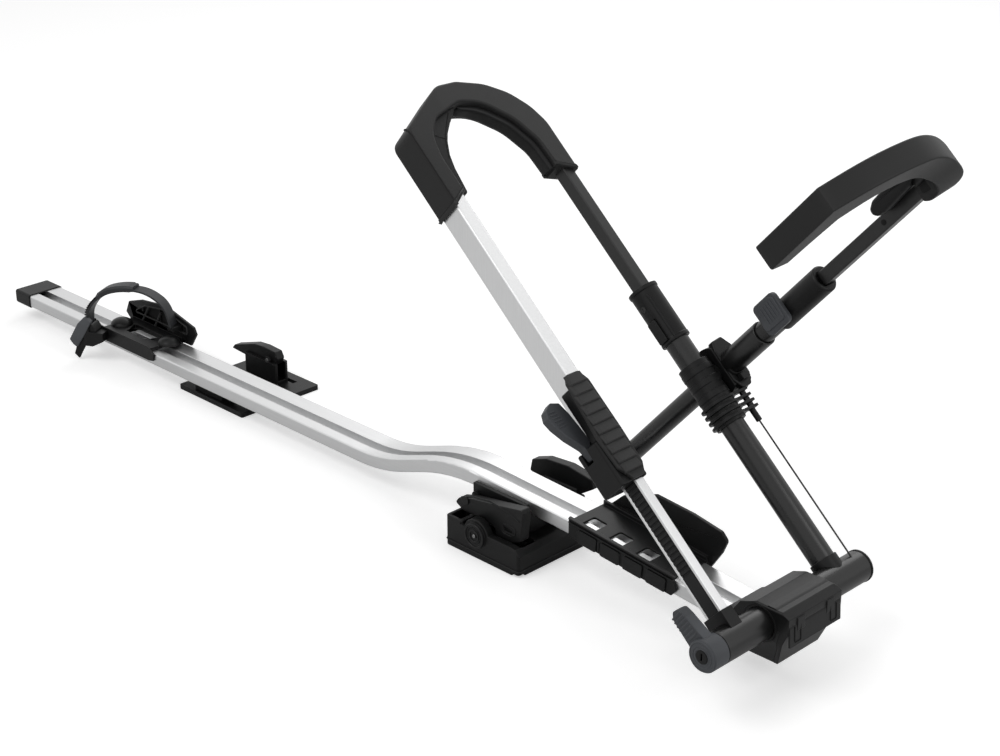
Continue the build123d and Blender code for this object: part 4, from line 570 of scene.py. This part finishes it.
# Every node's finish, the width of its rounded edges and how many steps they have, where it isn't plainly black
dressing = {
    "tray_rail": ("tray", 0.7, 2), "leg_profile": ("leg", 0.8, 2), "outer_tube": ("leg", 0.9, 2),
    "cross_tube": ("tube", 0.8, 2), "far_leg_tube": ("tube", 0.6, 2), "arm_lower_tube": ("tube", 0.6, 2),
    "arm_upper_tube": ("tube", 0.6, 2), "arm_shroud": ("tube", 0.9, 2),
    "hoop_bar": ("bar", 1.0, 2), "arm_bar": ("bar", 1.0, 2),
    "hook_shell": ("soft", 1.6, 3), "front_hook": ("soft", 1.6, 3), "hook_pads": ("soft", 1.6, 3),
    "front_pad": ("soft", 1.6, 3), "handle_grip": ("grip", 0.9, 2), "foot_pad": ("rubber", 0.8, 2),
    "release_knob": ("grey", 0.8, 2), "release_lever": ("grey", 1.3, 3), "clamp_lever": ("grey", 1.2, 3),
    "buckle_lever": ("buckleGrey", 1.0, 2), "wheel_strap": ("strap", 0.6, 2), "strap_tail": ("strap", 0.6, 2),
    "near_lever_pin": ("fine", 0.4, 2), "head_bolts": ("steel", 0.5, 2),
    "pivot_pin": ("steel", 0.4, 2), "pull_wire": ("tube", 0, 0), "sleeve_screw": ("tube", 0.4, 2),
    "lock_barrel": ("fine", 0.4, 2), "release_pin": ("steel", 0.3, 2), "rack_pawl": ("steel", 0.3, 2),
    "clamp_pin": ("grey", 0.3, 2), "rear_lever_pin": ("steel", 0.4, 2),
    "foot_base": ("black", 1.1, 2), "head_cover": ("fine", 0.6, 2), "head_base": ("black", 0.9, 2),
    "cradle_frame": ("black", 0.7, 2), "far_foot_lever": ("black", 1.2, 2), "near_foot_lever": ("black", 1.1, 2),
    "arm_block": ("black", 1.2, 2), "handle_housing": ("black", 2.2, 3), "rear_lever": ("black", 1.2, 2),
    "strap_cradle": ("black", 0.7, 2), "slide_sleeve": ("black", 0.9, 2), "arm_sleeve": ("black", 0.9, 2),
    "rear_end_cap": ("black", 1.8, 3), "rack_strip": ("black", 0.3, 1), "far_end_cap": ("fine", 1.0, 2),
    "slide_button": ("black", 1.0, 2), "arm_button": ("black", 1.0, 2),
}
plainBlack = ("black", 0.6, 2)
sleeveBand = ((77.3, 345, 0), (0, -1, 0), 0.7, 40)
# nodes that a piece further down takes the place of
madeWhole = ("hook_shell", "hook_pads", "release_knob", "buckle_lever", "strap_tail", "front_hook")
for name, piece in nodes.items():
    finish, width, segments = dressing.get(name, plainBlack)
    piece.data.materials.clear()
    piece.data.materials.append(finishes[finish])
    if not width or name in madeWhole:
        continue
    shape = ofFrame(name)
    if name == "strap_cradle":
        shape = windowed(shape, deckWindow)
    if name == "slide_sleeve":
        banded(shape, hoopFace, *sleeveBand)
    softened(shape, width, segments)
    setPiece(name + ".soft", shape, None, piece["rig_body"], finish, (name,))
print("nodes dressed:", len(nodes))


# Hoop hook: one padded shell over both legs, rolled edges, dark lines of painted shade along its rims and band
# steps, and pads in its mouth
hookSettings = {
    "start": (-124.0, 587.0), "size": (213.0, 158.0), "near": 21.0, "far": 15.0, "taperY": -54.0,
    "outer": [(0, 0), (0, 0.705), (0.375, 1.0), (0.53, 1.0), (0.72, 0.925), (0.86, 0.80), (0.955, 0.64), (1, 0.47),
              (1, 0.013)],
    "outerRadius": [0.5, 17, 30, 22, 70, 60, 60, 40, 0.5],
    "inner": [(0.854, 0.09), (0.845, 0.335), (0.77, 0.563), (0.618, 0.77), (0.46, 0.82), (0.242, 0.736),
              (0.150, 0.613), (0.114, 0.407), (0.118, 0.095)],
    "innerRadius": [0.5, 40, 60, 60, 30, 30, 40, 60, 0.5],
    "edge": 3.4, "lips": [((-121, 595.5, 0), (15, -27, 0), 1.0, 60), ((77, 597.5, 0), (-15, -31, 0), 0.9, 45)],
    "padHalf": 13.0, "farShare": 0.47, "farPad": (7.5, 10.0), "farLinerShade": (0.7, 12.6),
    "pad": [(-29, 719), (-34.3, 709.3), (-51.4, 695), (-63.8, 682.9), (-71.3, 672.6), (-80.1, 655.2), (-85, 636.8),
            (-89.2, 601.5), (-101.5, 601.5), (-103, 640), (-102, 668), (-95, 686), (-77, 705), (-54, 715),
            (-33, 722)],
    "padLines": [[(-45.8, 708.2), (-59.9, 692.6), (-70.3, 680.5), (-77, 669), (-85, 651)],
                 [(-84.5, 684.5), (-73.2, 676.8)]],
    "nearRimShade": [(-98, 608.2, 21.0), (-120.5, 595.7, 21.0), (-123.4, 594.1, 19.8), (-124.1, 593.7, 17.5),
                (-124.1, 593.7, -17.5)],
    "farRimShade": [(59, 606.6, 16.2), (76, 598.4, 15.5), (86, 593.6, 15.1), (88.6, 592.4, 13.4), (89.1, 592.1, 11),
               (89.1, 592.1, -11)],
    "seam": [(-122.1, 588, 19.85), (-122.1, 647, 19.85), (-122.1, 688, 19.85), (-122.4, 696, 19.05),
             (-121.4, 700.5, 16.05), (-119.4, 703, 11.05)],
}


def makeHookShell(settings):
    (left, low), (wide, tall) = settings["start"], settings["size"]
    points = [(left + wide * x, low + tall * y) for x, y in settings["outer"] + settings["inner"]]
    radii = settings["outerRadius"] + settings["innerRadius"]
    shape = prism(rounded(points, radii, 7), -1, 1)
    everything = shape.verts[:] + shape.edges[:] + shape.faces[:]
    start, far = settings["taperY"], left + wide
    bmesh.ops.bisect_plane(shape, geom=everything, plane_co=(start, 0, 0), plane_no=(1, 0, 0))
    for vertex in shape.verts:
        share = max(0.0, (vertex.co.x - start) / (far - start))
        vertex.co.z *= settings["near"] + (settings["far"] - settings["near"]) * share
    rims = [edge for edge in shape.edges if len(edge.link_faces) == 2 and edge.calc_face_angle(0) > 0.8]
    rims = [edge for edge in rims if abs(edge.verts[0].co.z) > 5 and edge.verts[0].co.z * edge.verts[1].co.z > 0]
    bmesh.ops.bevel(shape, geom=rims, offset=settings["edge"], segments=4, profile=0.5, affect="EDGES")
    bmesh.ops.transform(shape, matrix=hoopFace, verts=shape.verts)
    for lip in settings["lips"]:
        banded(shape, hoopFace, *lip)
    setPiece("hookShell", shape, None, "hoop_top", "soft", ("hook_shell",), 50)


def makeHookPad(name, path, thick, half, finish, replaced=()):
    edge = [(-1, -2.5), (-1, 0.35), (-0.93, 0.72), (-0.8, 0.94), (-0.5, 1)]
    edge += [(-side, rise) for side, rise in reversed(edge)]

    def section(share):
        swell = thick * min(1.0, 5 * share, 5 * (1 - share)) ** 0.5 + 0.2
        reach = half * (0.80 + 0.20 * min(1.0, 6 * share, 6 * (1 - share)))
        return [(side * reach, swell * rise if rise > 0 else rise) for side, rise in edge]

    setPiece(name, swept(path, section), hoopFace, "hoop_top", finish, replaced, 48)


def makeHookPads(settings):
    (left, low), (wide, tall) = settings["start"], settings["size"]
    inner = [(left + wide * x, low + tall * y) for x, y in settings["inner"]]
    smooth = rounded(inner, settings["innerRadius"], 6)
    farPath = [point for point in smooth if point[0] > left + wide * settings["farShare"]]
    half = settings["padHalf"]
    makeHookPad("hookFarPad", farPath[2:], *settings["farPad"], "black", ("hook_pads",))
    near = prism(rounded(settings["pad"], 4, 3), -half, half, 2.0, 3)
    setPiece("hookNearPad", near, hoopFace, "hoop_top", "black", (), 40)
    # near-black lines on the near pad: painted shade along its creases
    lines = [wire([(x, y, half - 0.2) for x, y in line], 0.8) for line in settings["padLines"]]
    setPiece("hookPadLines", joined(*lines), hoopFace, "hoop_top", "seam")
    # a near-black liner along the far pad: painted shade in the hook's mouth
    makeHookPad("hookFarLiner", farPath[1:], *settings["farLinerShade"], "seam")


def makeHookShadeLines(settings):
    # near-black lines at the corner and along both rims: painted shade at the band steps
    setPiece("hookCornerSeam", wire(settings["seam"], 1.35), hoopFace, "hoop_top", "seam")
    for name, line in (("hookNearRim", settings["nearRimShade"]), ("hookFarRim", settings["farRimShade"])):
        setPiece(name, wire(line, 0.6), hoopFace, "hoop_top", "seam")


makeHookShell(hookSettings)
makeHookPads(hookSettings)
makeHookShadeLines(hookSettings)


# Ribbed grip: overlapping scales, narrower towards both ends
gripSettings = {"ribs": 10, "start": 216.0, "pitch": 13.0, "width": 33.0, "y": -118.6, "base": 22.0, "rise": 4.4}


def makeGrip(settings):
    half, pitch = settings["width"] / 2, settings["pitch"]
    low, high = settings["base"] - 0.6, settings["base"] + settings["rise"]
    side = [(-0.3, low), (pitch + 0.4, low), (pitch + 0.4, high - 2.3), (pitch - 1.5, high - 1.9), (1.2, high),
            (0, high - 0.8)]
    sections = []
    drops = ((-half, 2.6), (-half + 2.2, 0.6), (-half + 5.5, 0), (half - 5.5, 0), (half - 2.2, 0.6), (half, 2.6))
    for x, drop in drops:
        sections.append([(x, y, max(low, z - drop) if z > low else z) for y, z in side])
    scale = loft(sections)
    row("gripScales", scale, settings["ribs"], (settings["y"], settings["start"], 0), (0, pitch, 0), hoopFace,
        "hoop_top", "grip", 0.16, 28)


makeGrip(gripSettings)


# Finger ribs on the grey release paddle
paddleSettings = {"ribs": 6, "size": (11.0, 1.5, 1.4), "start": (-150.0, 301.0, -3.9), "step": (-0.6, 4.0, 0)}


def makePaddleRibs(settings):
    row("paddleRibs", brick((0, 0, 0), settings["size"], 0.6, 0.5), settings["ribs"], settings["start"],
        settings["step"], hoopFace, "squeeze_lever", "grey")


makePaddleRibs(paddleSettings)
print("hoop details made")


# Front foot: rings of the lock and a ledge round the base
footSettings = {
    "lock": (-10.8, 33.0), "face": 76.0,
    "rim": [(17.2, -6), (17.2, 0.6), (16.6, 1.3), (14.9, 1.3), (14.3, 0.6), (14.3, -2)],
    "ring": [(8.9, -1), (8.9, 0.7), (8.4, 1.1), (7.2, 1.1), (6.7, 0.6), (6.7, -1)],
    "dot": [(2.6, -1), (2.6, 0.8), (2.2, 1.2), (0, 1.2)],
    "ledge": (66.4, 73.4), "ledgeCorner": 4.2, "ledgeHeight": 9.0, "ledgeRound": 0.7,  # half sizes first
}


def makeFootDetails(settings):
    x, z = settings["lock"]
    middle = (x, z, settings["face"])
    setPiece("lockRim", turnedShape(settings["rim"], 48, middle), sideOn, "carrier", "black")
    setPiece("lockInnerRing", turnedShape(settings["ring"], 40, middle), sideOn, "foot_key", "black")
    setPiece("lockDot", turnedShape(settings["dot"], 24, middle), sideOn, "foot_key", "steel")
    (half, side), height = settings["ledge"], settings["ledgeHeight"]
    ring = rounded([(-half, -side), (half, -side), (half, side), (-half, side)], settings["ledgeCorner"], 4)
    line = wire([(point[0], point[1], height) for point in ring], settings["ledgeRound"], 6, True)
    setPiece("footRimLine", line, millimetres, "carrier", "black")


makeFootDetails(footSettings)


# Knob: barrel with rings round its keyhole and a ribbed thumb tab
knobSettings = {"radius": 19.7, "start": 141.3, "face": 166.0, "rings": ((18.2, 16.8), (13.6, 12.3), (10.2, 8.7)),
                "stub": (17.4, 128.0), "keyway": 7.4}
tabSettings = {"outline": [(-14.5, 10), (14, 10), (10.5, 46), (8, 57), (-2, 60), (-9.5, 53)],
               "radii": [0, 0, 8, 5, 5, 8], "near": 160.0, "far": 145.0, "ribs": 7, "rib": (20.5, 2.4, 1.3),
               "start": (-0.2, 24.0, 160.0), "step": (0, 4.9, 0)}


def makeKnob(settings):
    radius, start, face, keyway = settings["radius"], settings["start"], settings["face"], settings["keyway"]
    profile = [(radius - 6, start + 2), (radius - 1, start), (radius, start + 1), (radius, face - 2.2),
               (radius - 0.8, face - 0.8), (radius - 2.4, face), (keyway + 0.8, face), (keyway, face - 1.6),
               (keyway, face - 6)]
    barrel = turnedShape(profile, 64)
    rings = []
    for outer, inner in settings["rings"]:
        ringed = [(outer, -1.5), (outer, 0.15), (outer - 0.4, 0.6), (inner + 0.4, 0.6), (inner, 0.15), (inner, -1.5)]
        rings.append(turnedShape(ringed, 56, (0, 0, face)))
    wide, low = settings["stub"]
    stub = turnedShape([(wide - 0.4, low), (wide, low + 0.6), (wide, start + 3), (12, start + 3)], 48)
    setPiece("releaseKnob", joined(barrel, stub, *rings), hoopSide, "knob", "grey", ("release_knob",))


def makeTab(settings):
    outline = rounded(settings["outline"], settings["radii"], 6)
    setPiece("knobTab", prism(outline, settings["far"], settings["near"], 1.6, 3), knobFace, "knob", "grey")
    rib = brick((0, 0, 0), settings["rib"], 0.9, 0.5)
    row("knobTabRibs", rib, settings["ribs"], settings["start"], settings["step"], knobFace, "knob", "grey", 0.12)


makeKnob(knobSettings)
makeTab(tabSettings)


# Head: a smooth hood over the cover's front edge, and two clip tabs
headSettings = {"near": -63.5, "far": 31.5, "thick": 2.6,
                "path": [(446, 114.9), (456, 114.9), (470, 110.2), (478.4, 100), (480.2, 73)],
                "radii": [0, 12, 16, 14, 0], "tabs": (-49.0, 17.0), "tabHalf": 5.5, "tabHeights": (77.2, 97.0),
                "front": 480.1, "frontLow": 77.0, "slope": 0.066}


def ribbon(path, thick, radii):
    smooth = [Vector(point) for point in rounded(path, radii, 6)]
    inside = []
    for number, spot in enumerate(smooth):
        ahead = heading(smooth, number)
        inside.append(spot - Vector((-ahead.y, ahead.x)) * thick)
    return smooth + list(reversed(inside))


def makeHood(settings):
    skin = ribbon(settings["path"], settings["thick"], settings["radii"])
    hood = prism(skin, -settings["far"], -settings["near"], 0.9, 2)
    setPiece("headHood", hood, sideOn, "carrier", "fine", (), 40)
    half, (low, high) = settings["tabHalf"], settings["tabHeights"]
    front, frontLow, slope = settings["front"], settings["frontLow"], settings["slope"]
    for number, y in enumerate(settings["tabs"]):
        tab = [(y - half, high), (y - half, low + 1.8), (y - half + 1, low), (y + half - 1, low),
               (y + half, low + 1.8), (y + half, high)]
        line = [(front - (z - frontLow) * slope, side, z) for side, z in tab]
        setPiece("clipTab%d" % number, wire(line, 0.75), millimetres, "carrier", "seam")


makeHood(headSettings)


# Wheel strap: ladder teeth by the buckle and a thick sleeve on top
strapSettings = {"path": [(0, 0), (0, 30.4), (14.4, 51.7), (37.4, 69.9), (72, 78.3), (106.6, 75.2), (133.9, 57.8)],
                 "steps": 12, "teeth": 13, "firstTooth": 6, "tooth": (2.2, 2.8, 19.5), "sleeve": (0.40, 0.74),
                 "section": [(-12.5, -2.2), (-11.5, -4.2), (11.5, -4.2), (12.5, -2.2), (12.5, 2.6), (9.5, 5.6),
                             (-9.5, 5.6), (-12.5, 2.6)]}


def strapLine(settings):
    return [Vector(spot) for spot in smoothed(settings["path"], settings["steps"])[:-1]]


def makeStrapSleeve(settings):
    line = strapLine(settings)
    low, high = (int(share * len(line)) for share in settings["sleeve"])

    def section(share):
        fat = 1.0 if 0.08 < share < 0.92 else 0.82
        return [(side * (0.5 + 0.5 * fat), rise * fat) for side, rise in settings["section"]]

    setPiece("strapSleeve", swept(line[low:high], section), strapSide, "strap_holder", "strap", (), 40)


def makeStrapTeeth(settings):
    line = strapLine(settings)
    part = line[settings["firstTooth"]:int(settings["sleeve"][0] * len(line))]
    tooth = brick((0, 2.4, 0), settings["tooth"], 0.7, 0.5)
    onPath("strapTeeth", tooth, part, settings["teeth"], strapSide, "strap_holder", "black")


makeStrapSleeve(strapSettings)
makeStrapTeeth(strapSettings)


# Buckle: the grey lever's broad face, the dark block under it and the strap's loose end
leverSettings = {
    "outline": [(-2.1, 25.7), (7.9, 16.4), (-4.2, -4.7), (-19.7, -28.0), (-25.7, -24.2), (-31.9, -15.8),
                (-15.9, 11.9)],
    "under": [(5.9, 14.6), (14.8, 1.4), (10.6, -18.8), (3.0, -25.1), (-4.4, -20.7), (-10.2, -15.4)],
    "tail": [(-15.0, -8.0), (-21.5, -23.7), (-24.6, -34.0), (-27.2, -41.0), (-19.0, -48.5), (-12.8, -37.0),
             (-4.0, -21.5), (0.0, -6.0)],
    "leverSides": (6.0, 15.0), "underSides": (-11.0, 12.0), "tailSides": (8.6, 11.0),
}


def makeBuckleLever(settings):
    lever = prism(rounded(settings["outline"], 3, 4), *settings["leverSides"], 1.2, 3)
    setPiece("buckleLever", lever, strapSide, "buckle", "buckleGrey", ("buckle_lever",))
    under = prism(rounded(settings["under"], 3, 4), *settings["underSides"], 1.4, 3)
    setPiece("buckleLeverUnder", under, strapSide, "buckle", "black")
    tail = prism(rounded(settings["tail"], 1.5, 3), *settings["tailSides"], 0.6, 2)
    setPiece("strapTailEnd", tail, strapSide, "strap_holder", "black", ("strap_tail",))


makeBuckleLever(leverSettings)


# Rear wheel holder: a near-black plate of painted shade behind the far fin's windows, the fin's rim and posts, and
# two bumps on its deck
holderSettings = {"posts": [[(-852.1, 81.4), (-873.7, 50.2)], [(-821.7, 79.4), (-840.3, 50.6)]],
                  "fin": (-917.0, 45.6), "size": (185.0, 49.0), "bumps": ((-884, -1), (-768, 5)),
                  "bump": [(17.5, -1), (17.2, 2.0), (15, 5.4), (10.5, 8.2), (5, 9.6), (0, 10)], "deck": 52.0,
                  "windows": [(0.12, 0.34), (0.30, 0.70), (0.57, 0.85), (0.88, 0.58), (0.88, 0.34)],
                  "windowShadeDepths": (0.1, 1.3), "rimOut": 4.2, "rimRound": 1.4, "postOut": 2.8, "postRound": 2.4}


def makeHolder(settings):
    far = -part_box("strap_cradle")[1][1] * 1000
    (x0, z0), (wide, tall), (low, high) = settings["fin"], settings["size"], settings["windowShadeDepths"]
    outline = rounded([(x0 + wide * x, z0 + tall * z) for x, z in settings["windows"]], 4, 4)
    # a near-black plate behind the fin's windows: painted shade in its pocket
    setPiece("finBacking", prism(outline, far + low, far + high, 0.3), sideOn, "strap_holder", "seam")
    ring = [(point[0], point[1], far + settings["rimOut"]) for point in outline]
    rim = wire(ring, settings["rimRound"], 8, True)
    out, radius = far + settings["postOut"], settings["postRound"]
    posts = [wire([(x, z, out) for x, z in post], radius) for post in settings["posts"]]
    setPiece("finRim", joined(rim, *posts), sideOn, "strap_holder", "grip")
    domes = []
    for x, y in settings["bumps"]:
        domes.append(turnedShape(settings["bump"], 36, (x, y, settings["deck"])))
    setPiece("deckBumps", joined(*domes), millimetres, "strap_holder", "black")


makeHolder(holderSettings)
print("foot, knob, head and wheel holder details made")


# Front cradle: the near wall's two rims and the pads below them
wallSettings = {"rear": 114.0, "front": 290.0, "near": 34.6, "rim": 1.9, "rims": ((7.4, 2.0), (2.2, 1.5)), "pads": 4,
                "pad": [(0, -20), (31, -20), (31, -1.2), (0, -1.2)], "padStart": 18, "padStep": 37.5,
                "tray": ((108.5, 84.2), (404.0, 57.1))}  # along the tray's top beside it


def makeCradleWall(settings):
    rear, front, near = settings["rear"], settings["front"], settings["near"]
    (x0, z0), (x1, z1) = settings["tray"]
    high, low = (z0 + (z1 - z0) * (x - x0) / (x1 - x0) for x in (rear, front))
    fall = math.atan2(high - low, front - rear)
    ahead = Vector((math.cos(fall), 0, -math.sin(fall)))
    up = Vector((math.sin(fall), 0, math.cos(fall)))
    place = placeAt(Vector((rear, 0, high)) * 0.001, ahead, up)
    length = (front - rear) / math.cos(fall)
    pieces = []
    for height, reach in settings["rims"]:
        pieces.append(brick((length / 2, height, near), (length - 2, settings["rim"], reach * 2), 0.8, 0.6))
    setPiece("cradleRims", joined(*pieces), place, "carrier", "black")
    pad = prism(rounded(settings["pad"], 3, 4), near - 1.4, near + 1.3, 1.0, 2)
    row("cradlePads", pad, settings["pads"], (settings["padStart"], 0, 0), (settings["padStep"], 0, 0), place,
        "carrier", "fine")


makeCradleWall(wallSettings)


# Slide sleeve on the far leg: a ridge beside its button
ridgeSettings = {"line": [(65.3, 342, 13.9), (65.3, 400, 13.9), (64.3, 405, 12.6)], "radius": 1.5}


def makeSleeveRidge(settings):
    setPiece("sleeveRidge", wire(settings["line"], settings["radius"]), hoopFace, "hoop_base", "black")


makeSleeveRidge(ridgeSettings)


# Arm block: a raised face with a ring and a domed button
blockSettings = {
    "face": 20.0, "button": (110.0, 276.5),
    "outline": [(99.5, 262), (99.5, 304), (104, 317), (123, 319), (131.5, 305), (131.5, 264), (123, 250.5),
                (107, 249.5)],
    "ring": [(10.4, -4), (10.4, 3.2), (9.6, 4.4), (8.4, 4.4), (7.8, 3.4), (7.8, -2)],
    "dome": [(7.8, -2), (7.8, 3.4), (6.8, 4.8), (4.6, 5.2), (4.2, 4.7), (2.6, 4.7), (2.1, 5.6), (0, 5.8)],
}


def makeBlockFace(settings):
    face = settings["face"]
    outline = rounded(settings["outline"], 3.5, 4)
    setPiece("blockFace", prism(outline, face - 7, face + 2.6, 2.0, 3), hoopFace, "arm", "black")
    middle = (*settings["button"], face + 2)
    setPiece("blockRing", turnedShape(settings["ring"], 40, middle), hoopFace, "arm", "black")
    setPiece("blockDome", turnedShape(settings["dome"], 36, middle), hoopFace, "arm", "fine")


makeBlockFace(blockSettings)


# Front hook: an arched band with a crisp facet at its tip, the flank that takes the bar with painted shade in its
# pocket and stop hole, and a hanging flap
frontSettings = {
    # outer edge, inner edge, lowest and highest of the band, out along the arch
    "sections": [((-92, 328), (-64, 331), -2.5, 27.5), ((-91.6, 380), (-60, 368), -2.5, 27.5),
                 ((-91, 436), (-54, 406), -2.5, 27.5), ((-54.3, 458), (-31, 426.5), -2.5, 28),
                 ((-18.8, 471), (-10, 438), -2.5, 28.5), ((22, 478), (14, 443.5), -2.5, 28.5),
                 ((50, 477), (40, 442), -3, 27.5), ((75, 470), (62, 437), -7, 24), ((98, 458), (84, 428), -14, 17),
                 ((114, 444), (95, 416), -18, 10), ((121, 425), (97, 402), -19, 6), ((121, 401), (98, 394), -15, 5)],
    "crisp": 2, "corner": 3.2,
    "pocket": [(399, -8), (403, 6), (411, 8), (419, 3), (423, -8), (411, -10)],
    "flap": [(337, 17), (336, 10), (341, 5), (352, 3), (398, 6), (412, 15), (400, 23), (378, 25), (346, 22.5)],
    "pocketSides": (-99.0, -96.2), "flapSides": (-101.0, -86.0),
    "hole": [(3.3, -1), (3.3, 0.35), (2.9, 0.5), (0, 0.5)], "holeAt": (329.5, 0.0, -106.2),
}


def makeFrontHook(settings):
    values = [(*outer, *inner, low, high) for outer, inner, low, high in settings["sections"]]
    rings = []
    for x0, y0, x1, y1, low, high in smoothed(values, 6, settings["crisp"]):
        wide = math.hypot(x1 - x0, y1 - y0)
        corners = rounded([(0, low), (wide, low), (wide, high), (0, high)], settings["corner"], 3)
        rings.append([(x0 + (x1 - x0) * c.x / wide, y0 + (y1 - y0) * c.x / wide, -c.y) for c in corners])
    setPiece("frontHookBand", loft(rings), armFace, "arm_top", "soft", ("front_hook",), 28)
    # a near-black plate in the flank's pocket: painted shade
    pocket = prism(rounded(settings["pocket"], 3.5, 4), *settings["pocketSides"], 0.3)
    setPiece("frontHookPocket", pocket, armSide, "arm_top", "seam")
    flap = prism(rounded(settings["flap"], 6, 5), *settings["flapSides"], 4.5, 5)
    setPiece("frontFlap", flap, armSide, "arm_top", "black", (), 40)
    # a near-black disc in the bar stop's hole: painted shade
    hole = turnedShape(settings["hole"], 24, settings["holeAt"])
    setPiece("barStopHole", hole, armSide, "arm_top", "seam")


makeFrontHook(frontSettings)


# Clamp lever: a raised pad with fine ribs over its pin
clampSettings = {"outline": [(120, -8.5), (151, -8.5), (153.5, 20), (142, 25), (126, 22), (117, 3)], "near": -90.2,
                 "ribs": 5, "rib": (1.3, 21, 1.2), "start": (127.5, 7.5, -88.9), "step": (5.0, 0.5, 0)}


def makeClampFace(settings):
    outline = rounded(settings["outline"], [4, 4, 6, 6, 6, 6], 5)
    face = prism(outline, settings["near"] - 0.6, settings["near"] + 1.2, 0.9, 3)
    setPiece("clampFace", face, armSide, "arm_clamp", "grey")
    rib = brick((0, 0, 0), settings["rib"], 0.5, 0.4)
    row("clampRibs", rib, settings["ribs"], settings["start"], settings["step"], armSide, "arm_clamp", "grey")


makeClampFace(clampSettings)


# Near foot lever: a rounded panel line and a raised spine
spineSettings = {"near": 58.0, "panel": [(24, 47.5), (24, 58), (46, 58), (46, 47.5)],
                 "spine": [(-52, 67.6), (-30, 76), (0, 80.0), (34, 76.5), (52, 70)]}


def makeLeverFace(settings):
    near = settings["near"]
    ring = [(x, z, near + 0.1) for x, z in rounded(settings["panel"], 4.5, 5)]
    setPiece("leverPanelLine", wire(ring, 0.8, 8, True), sideOn, "near_lever", "black")
    spine = [(x, z, near - 0.3) for x, z in settings["spine"]]
    setPiece("leverSpine", wire(spine, 1.3), sideOn, "near_lever", "black")


makeLeverFace(spineSettings)
print("cradle, sleeve, arm and lever details made")


# Camera, floor and light
cameraSettings = {"place": (1.6087, -1.6447, 1.2450), "azimuth": 45.07, "elevation": 23.74, "lens": 71.995}


def makeCamera(settings):
    camera = bpy.data.cameras.new("photoCamera")
    camera.lens = settings["lens"]
    camera.sensor_width = 36.0
    camera.sensor_fit = "HORIZONTAL"
    camera.clip_end = 50.0
    holder = linked("photoCamera", camera)
    azimuth = math.radians(settings["azimuth"])
    elevation = math.radians(settings["elevation"])
    aim = Vector((-math.sin(azimuth) * math.cos(elevation), math.cos(azimuth) * math.cos(elevation),
                  -math.sin(elevation)))
    holder.rotation_euler = aim.to_track_quat("-Z", "Y").to_euler()
    holder.location = settings["place"]
    bpy.context.scene.camera = holder


floorSettings = {"reach": 14.0, "colour": (0.86, 0.86, 0.86, 1), "glow": 0.45}


def makeFloor(settings):
    mesh = bpy.data.meshes.new("floor")
    reach = settings["reach"]
    corners = [(-reach, -reach, 0), (reach, -reach, 0), (reach, reach, 0), (-reach, reach, 0)]
    mesh.from_pydata(corners, [], [(0, 1, 2, 3)])
    floor = linked("floor", mesh)
    look = Look("paleFloor")
    seen = look.node("ShaderNodeLightPath", output="Is Camera Ray")
    diffuse = look.node("ShaderNodeBsdfDiffuse", {}, {"Color": settings["colour"]})
    glow = look.node("ShaderNodeEmission", {}, {"Color": (1, 1, 1, 1), "Strength": settings["glow"]})
    lit = look.node("ShaderNodeAddShader", {}, {0: diffuse, 1: glow})
    mixed = look.node("ShaderNodeMixShader", {}, {0: seen, 1: diffuse, 2: lit})
    out = look.tree.nodes.new("ShaderNodeOutputMaterial")
    look.tree.links.new(mixed.socket, out.inputs["Surface"])
    mesh.materials.append(look.material)


worldSettings = {"onObject": 0.42, "seen": 1.0}


def makeWorld(settings):
    world = bpy.data.worlds.new("studio")
    world.use_nodes = True
    tree = world.node_tree
    tree.nodes.clear()
    path = tree.nodes.new("ShaderNodeLightPath")
    plain = tree.nodes.new("ShaderNodeMath")
    plain.operation = "MAXIMUM"
    tree.links.new(path.outputs["Is Camera Ray"], plain.inputs[0])
    tree.links.new(path.outputs["Is Glossy Ray"], plain.inputs[1])
    strength = tree.nodes.new("ShaderNodeMapRange")
    strength.inputs["To Min"].default_value = settings["onObject"]
    strength.inputs["To Max"].default_value = settings["seen"]
    tree.links.new(plain.outputs[0], strength.inputs["Value"])
    background = tree.nodes.new("ShaderNodeBackground")
    background.inputs["Color"].default_value = (1, 1, 1, 1)
    tree.links.new(strength.outputs[0], background.inputs["Strength"])
    out = tree.nodes.new("ShaderNodeOutputWorld")
    tree.links.new(background.outputs[0], out.inputs["Surface"])
    bpy.context.scene.world = world


lightSettings = {  # place, aim, size, power
    "key": ((-0.6, -2.2, 3.2), (0.0, 0, 0.3), (2.4, 1.6), 40),
    "side": ((2.8, 0.6, 1.9), (0.2, 0, 0.3), (1.2, 2.0), 18),
    "back": ((-1.2, 2.6, 2.4), (0.0, 0, 0.3), (3.0, 1.2), 22),
}


def makeLight(name, place, aim, size, power):
    light = bpy.data.lights.new(name, "AREA")
    light.shape = "RECTANGLE"
    light.size, light.size_y = size
    light.energy = power
    holder = linked(name, light)
    holder.location = place
    holder.rotation_euler = (Vector(aim) - Vector(place)).to_track_quat("-Z", "Y").to_euler()


makeCamera(cameraSettings)
makeFloor(floorSettings)
makeWorld(worldSettings)
for name, (place, aim, size, power) in lightSettings.items():
    makeLight(name, place, aim, size, power)
bpy.context.scene.view_settings.view_transform = "Standard"
print("camera, floor and lights set")
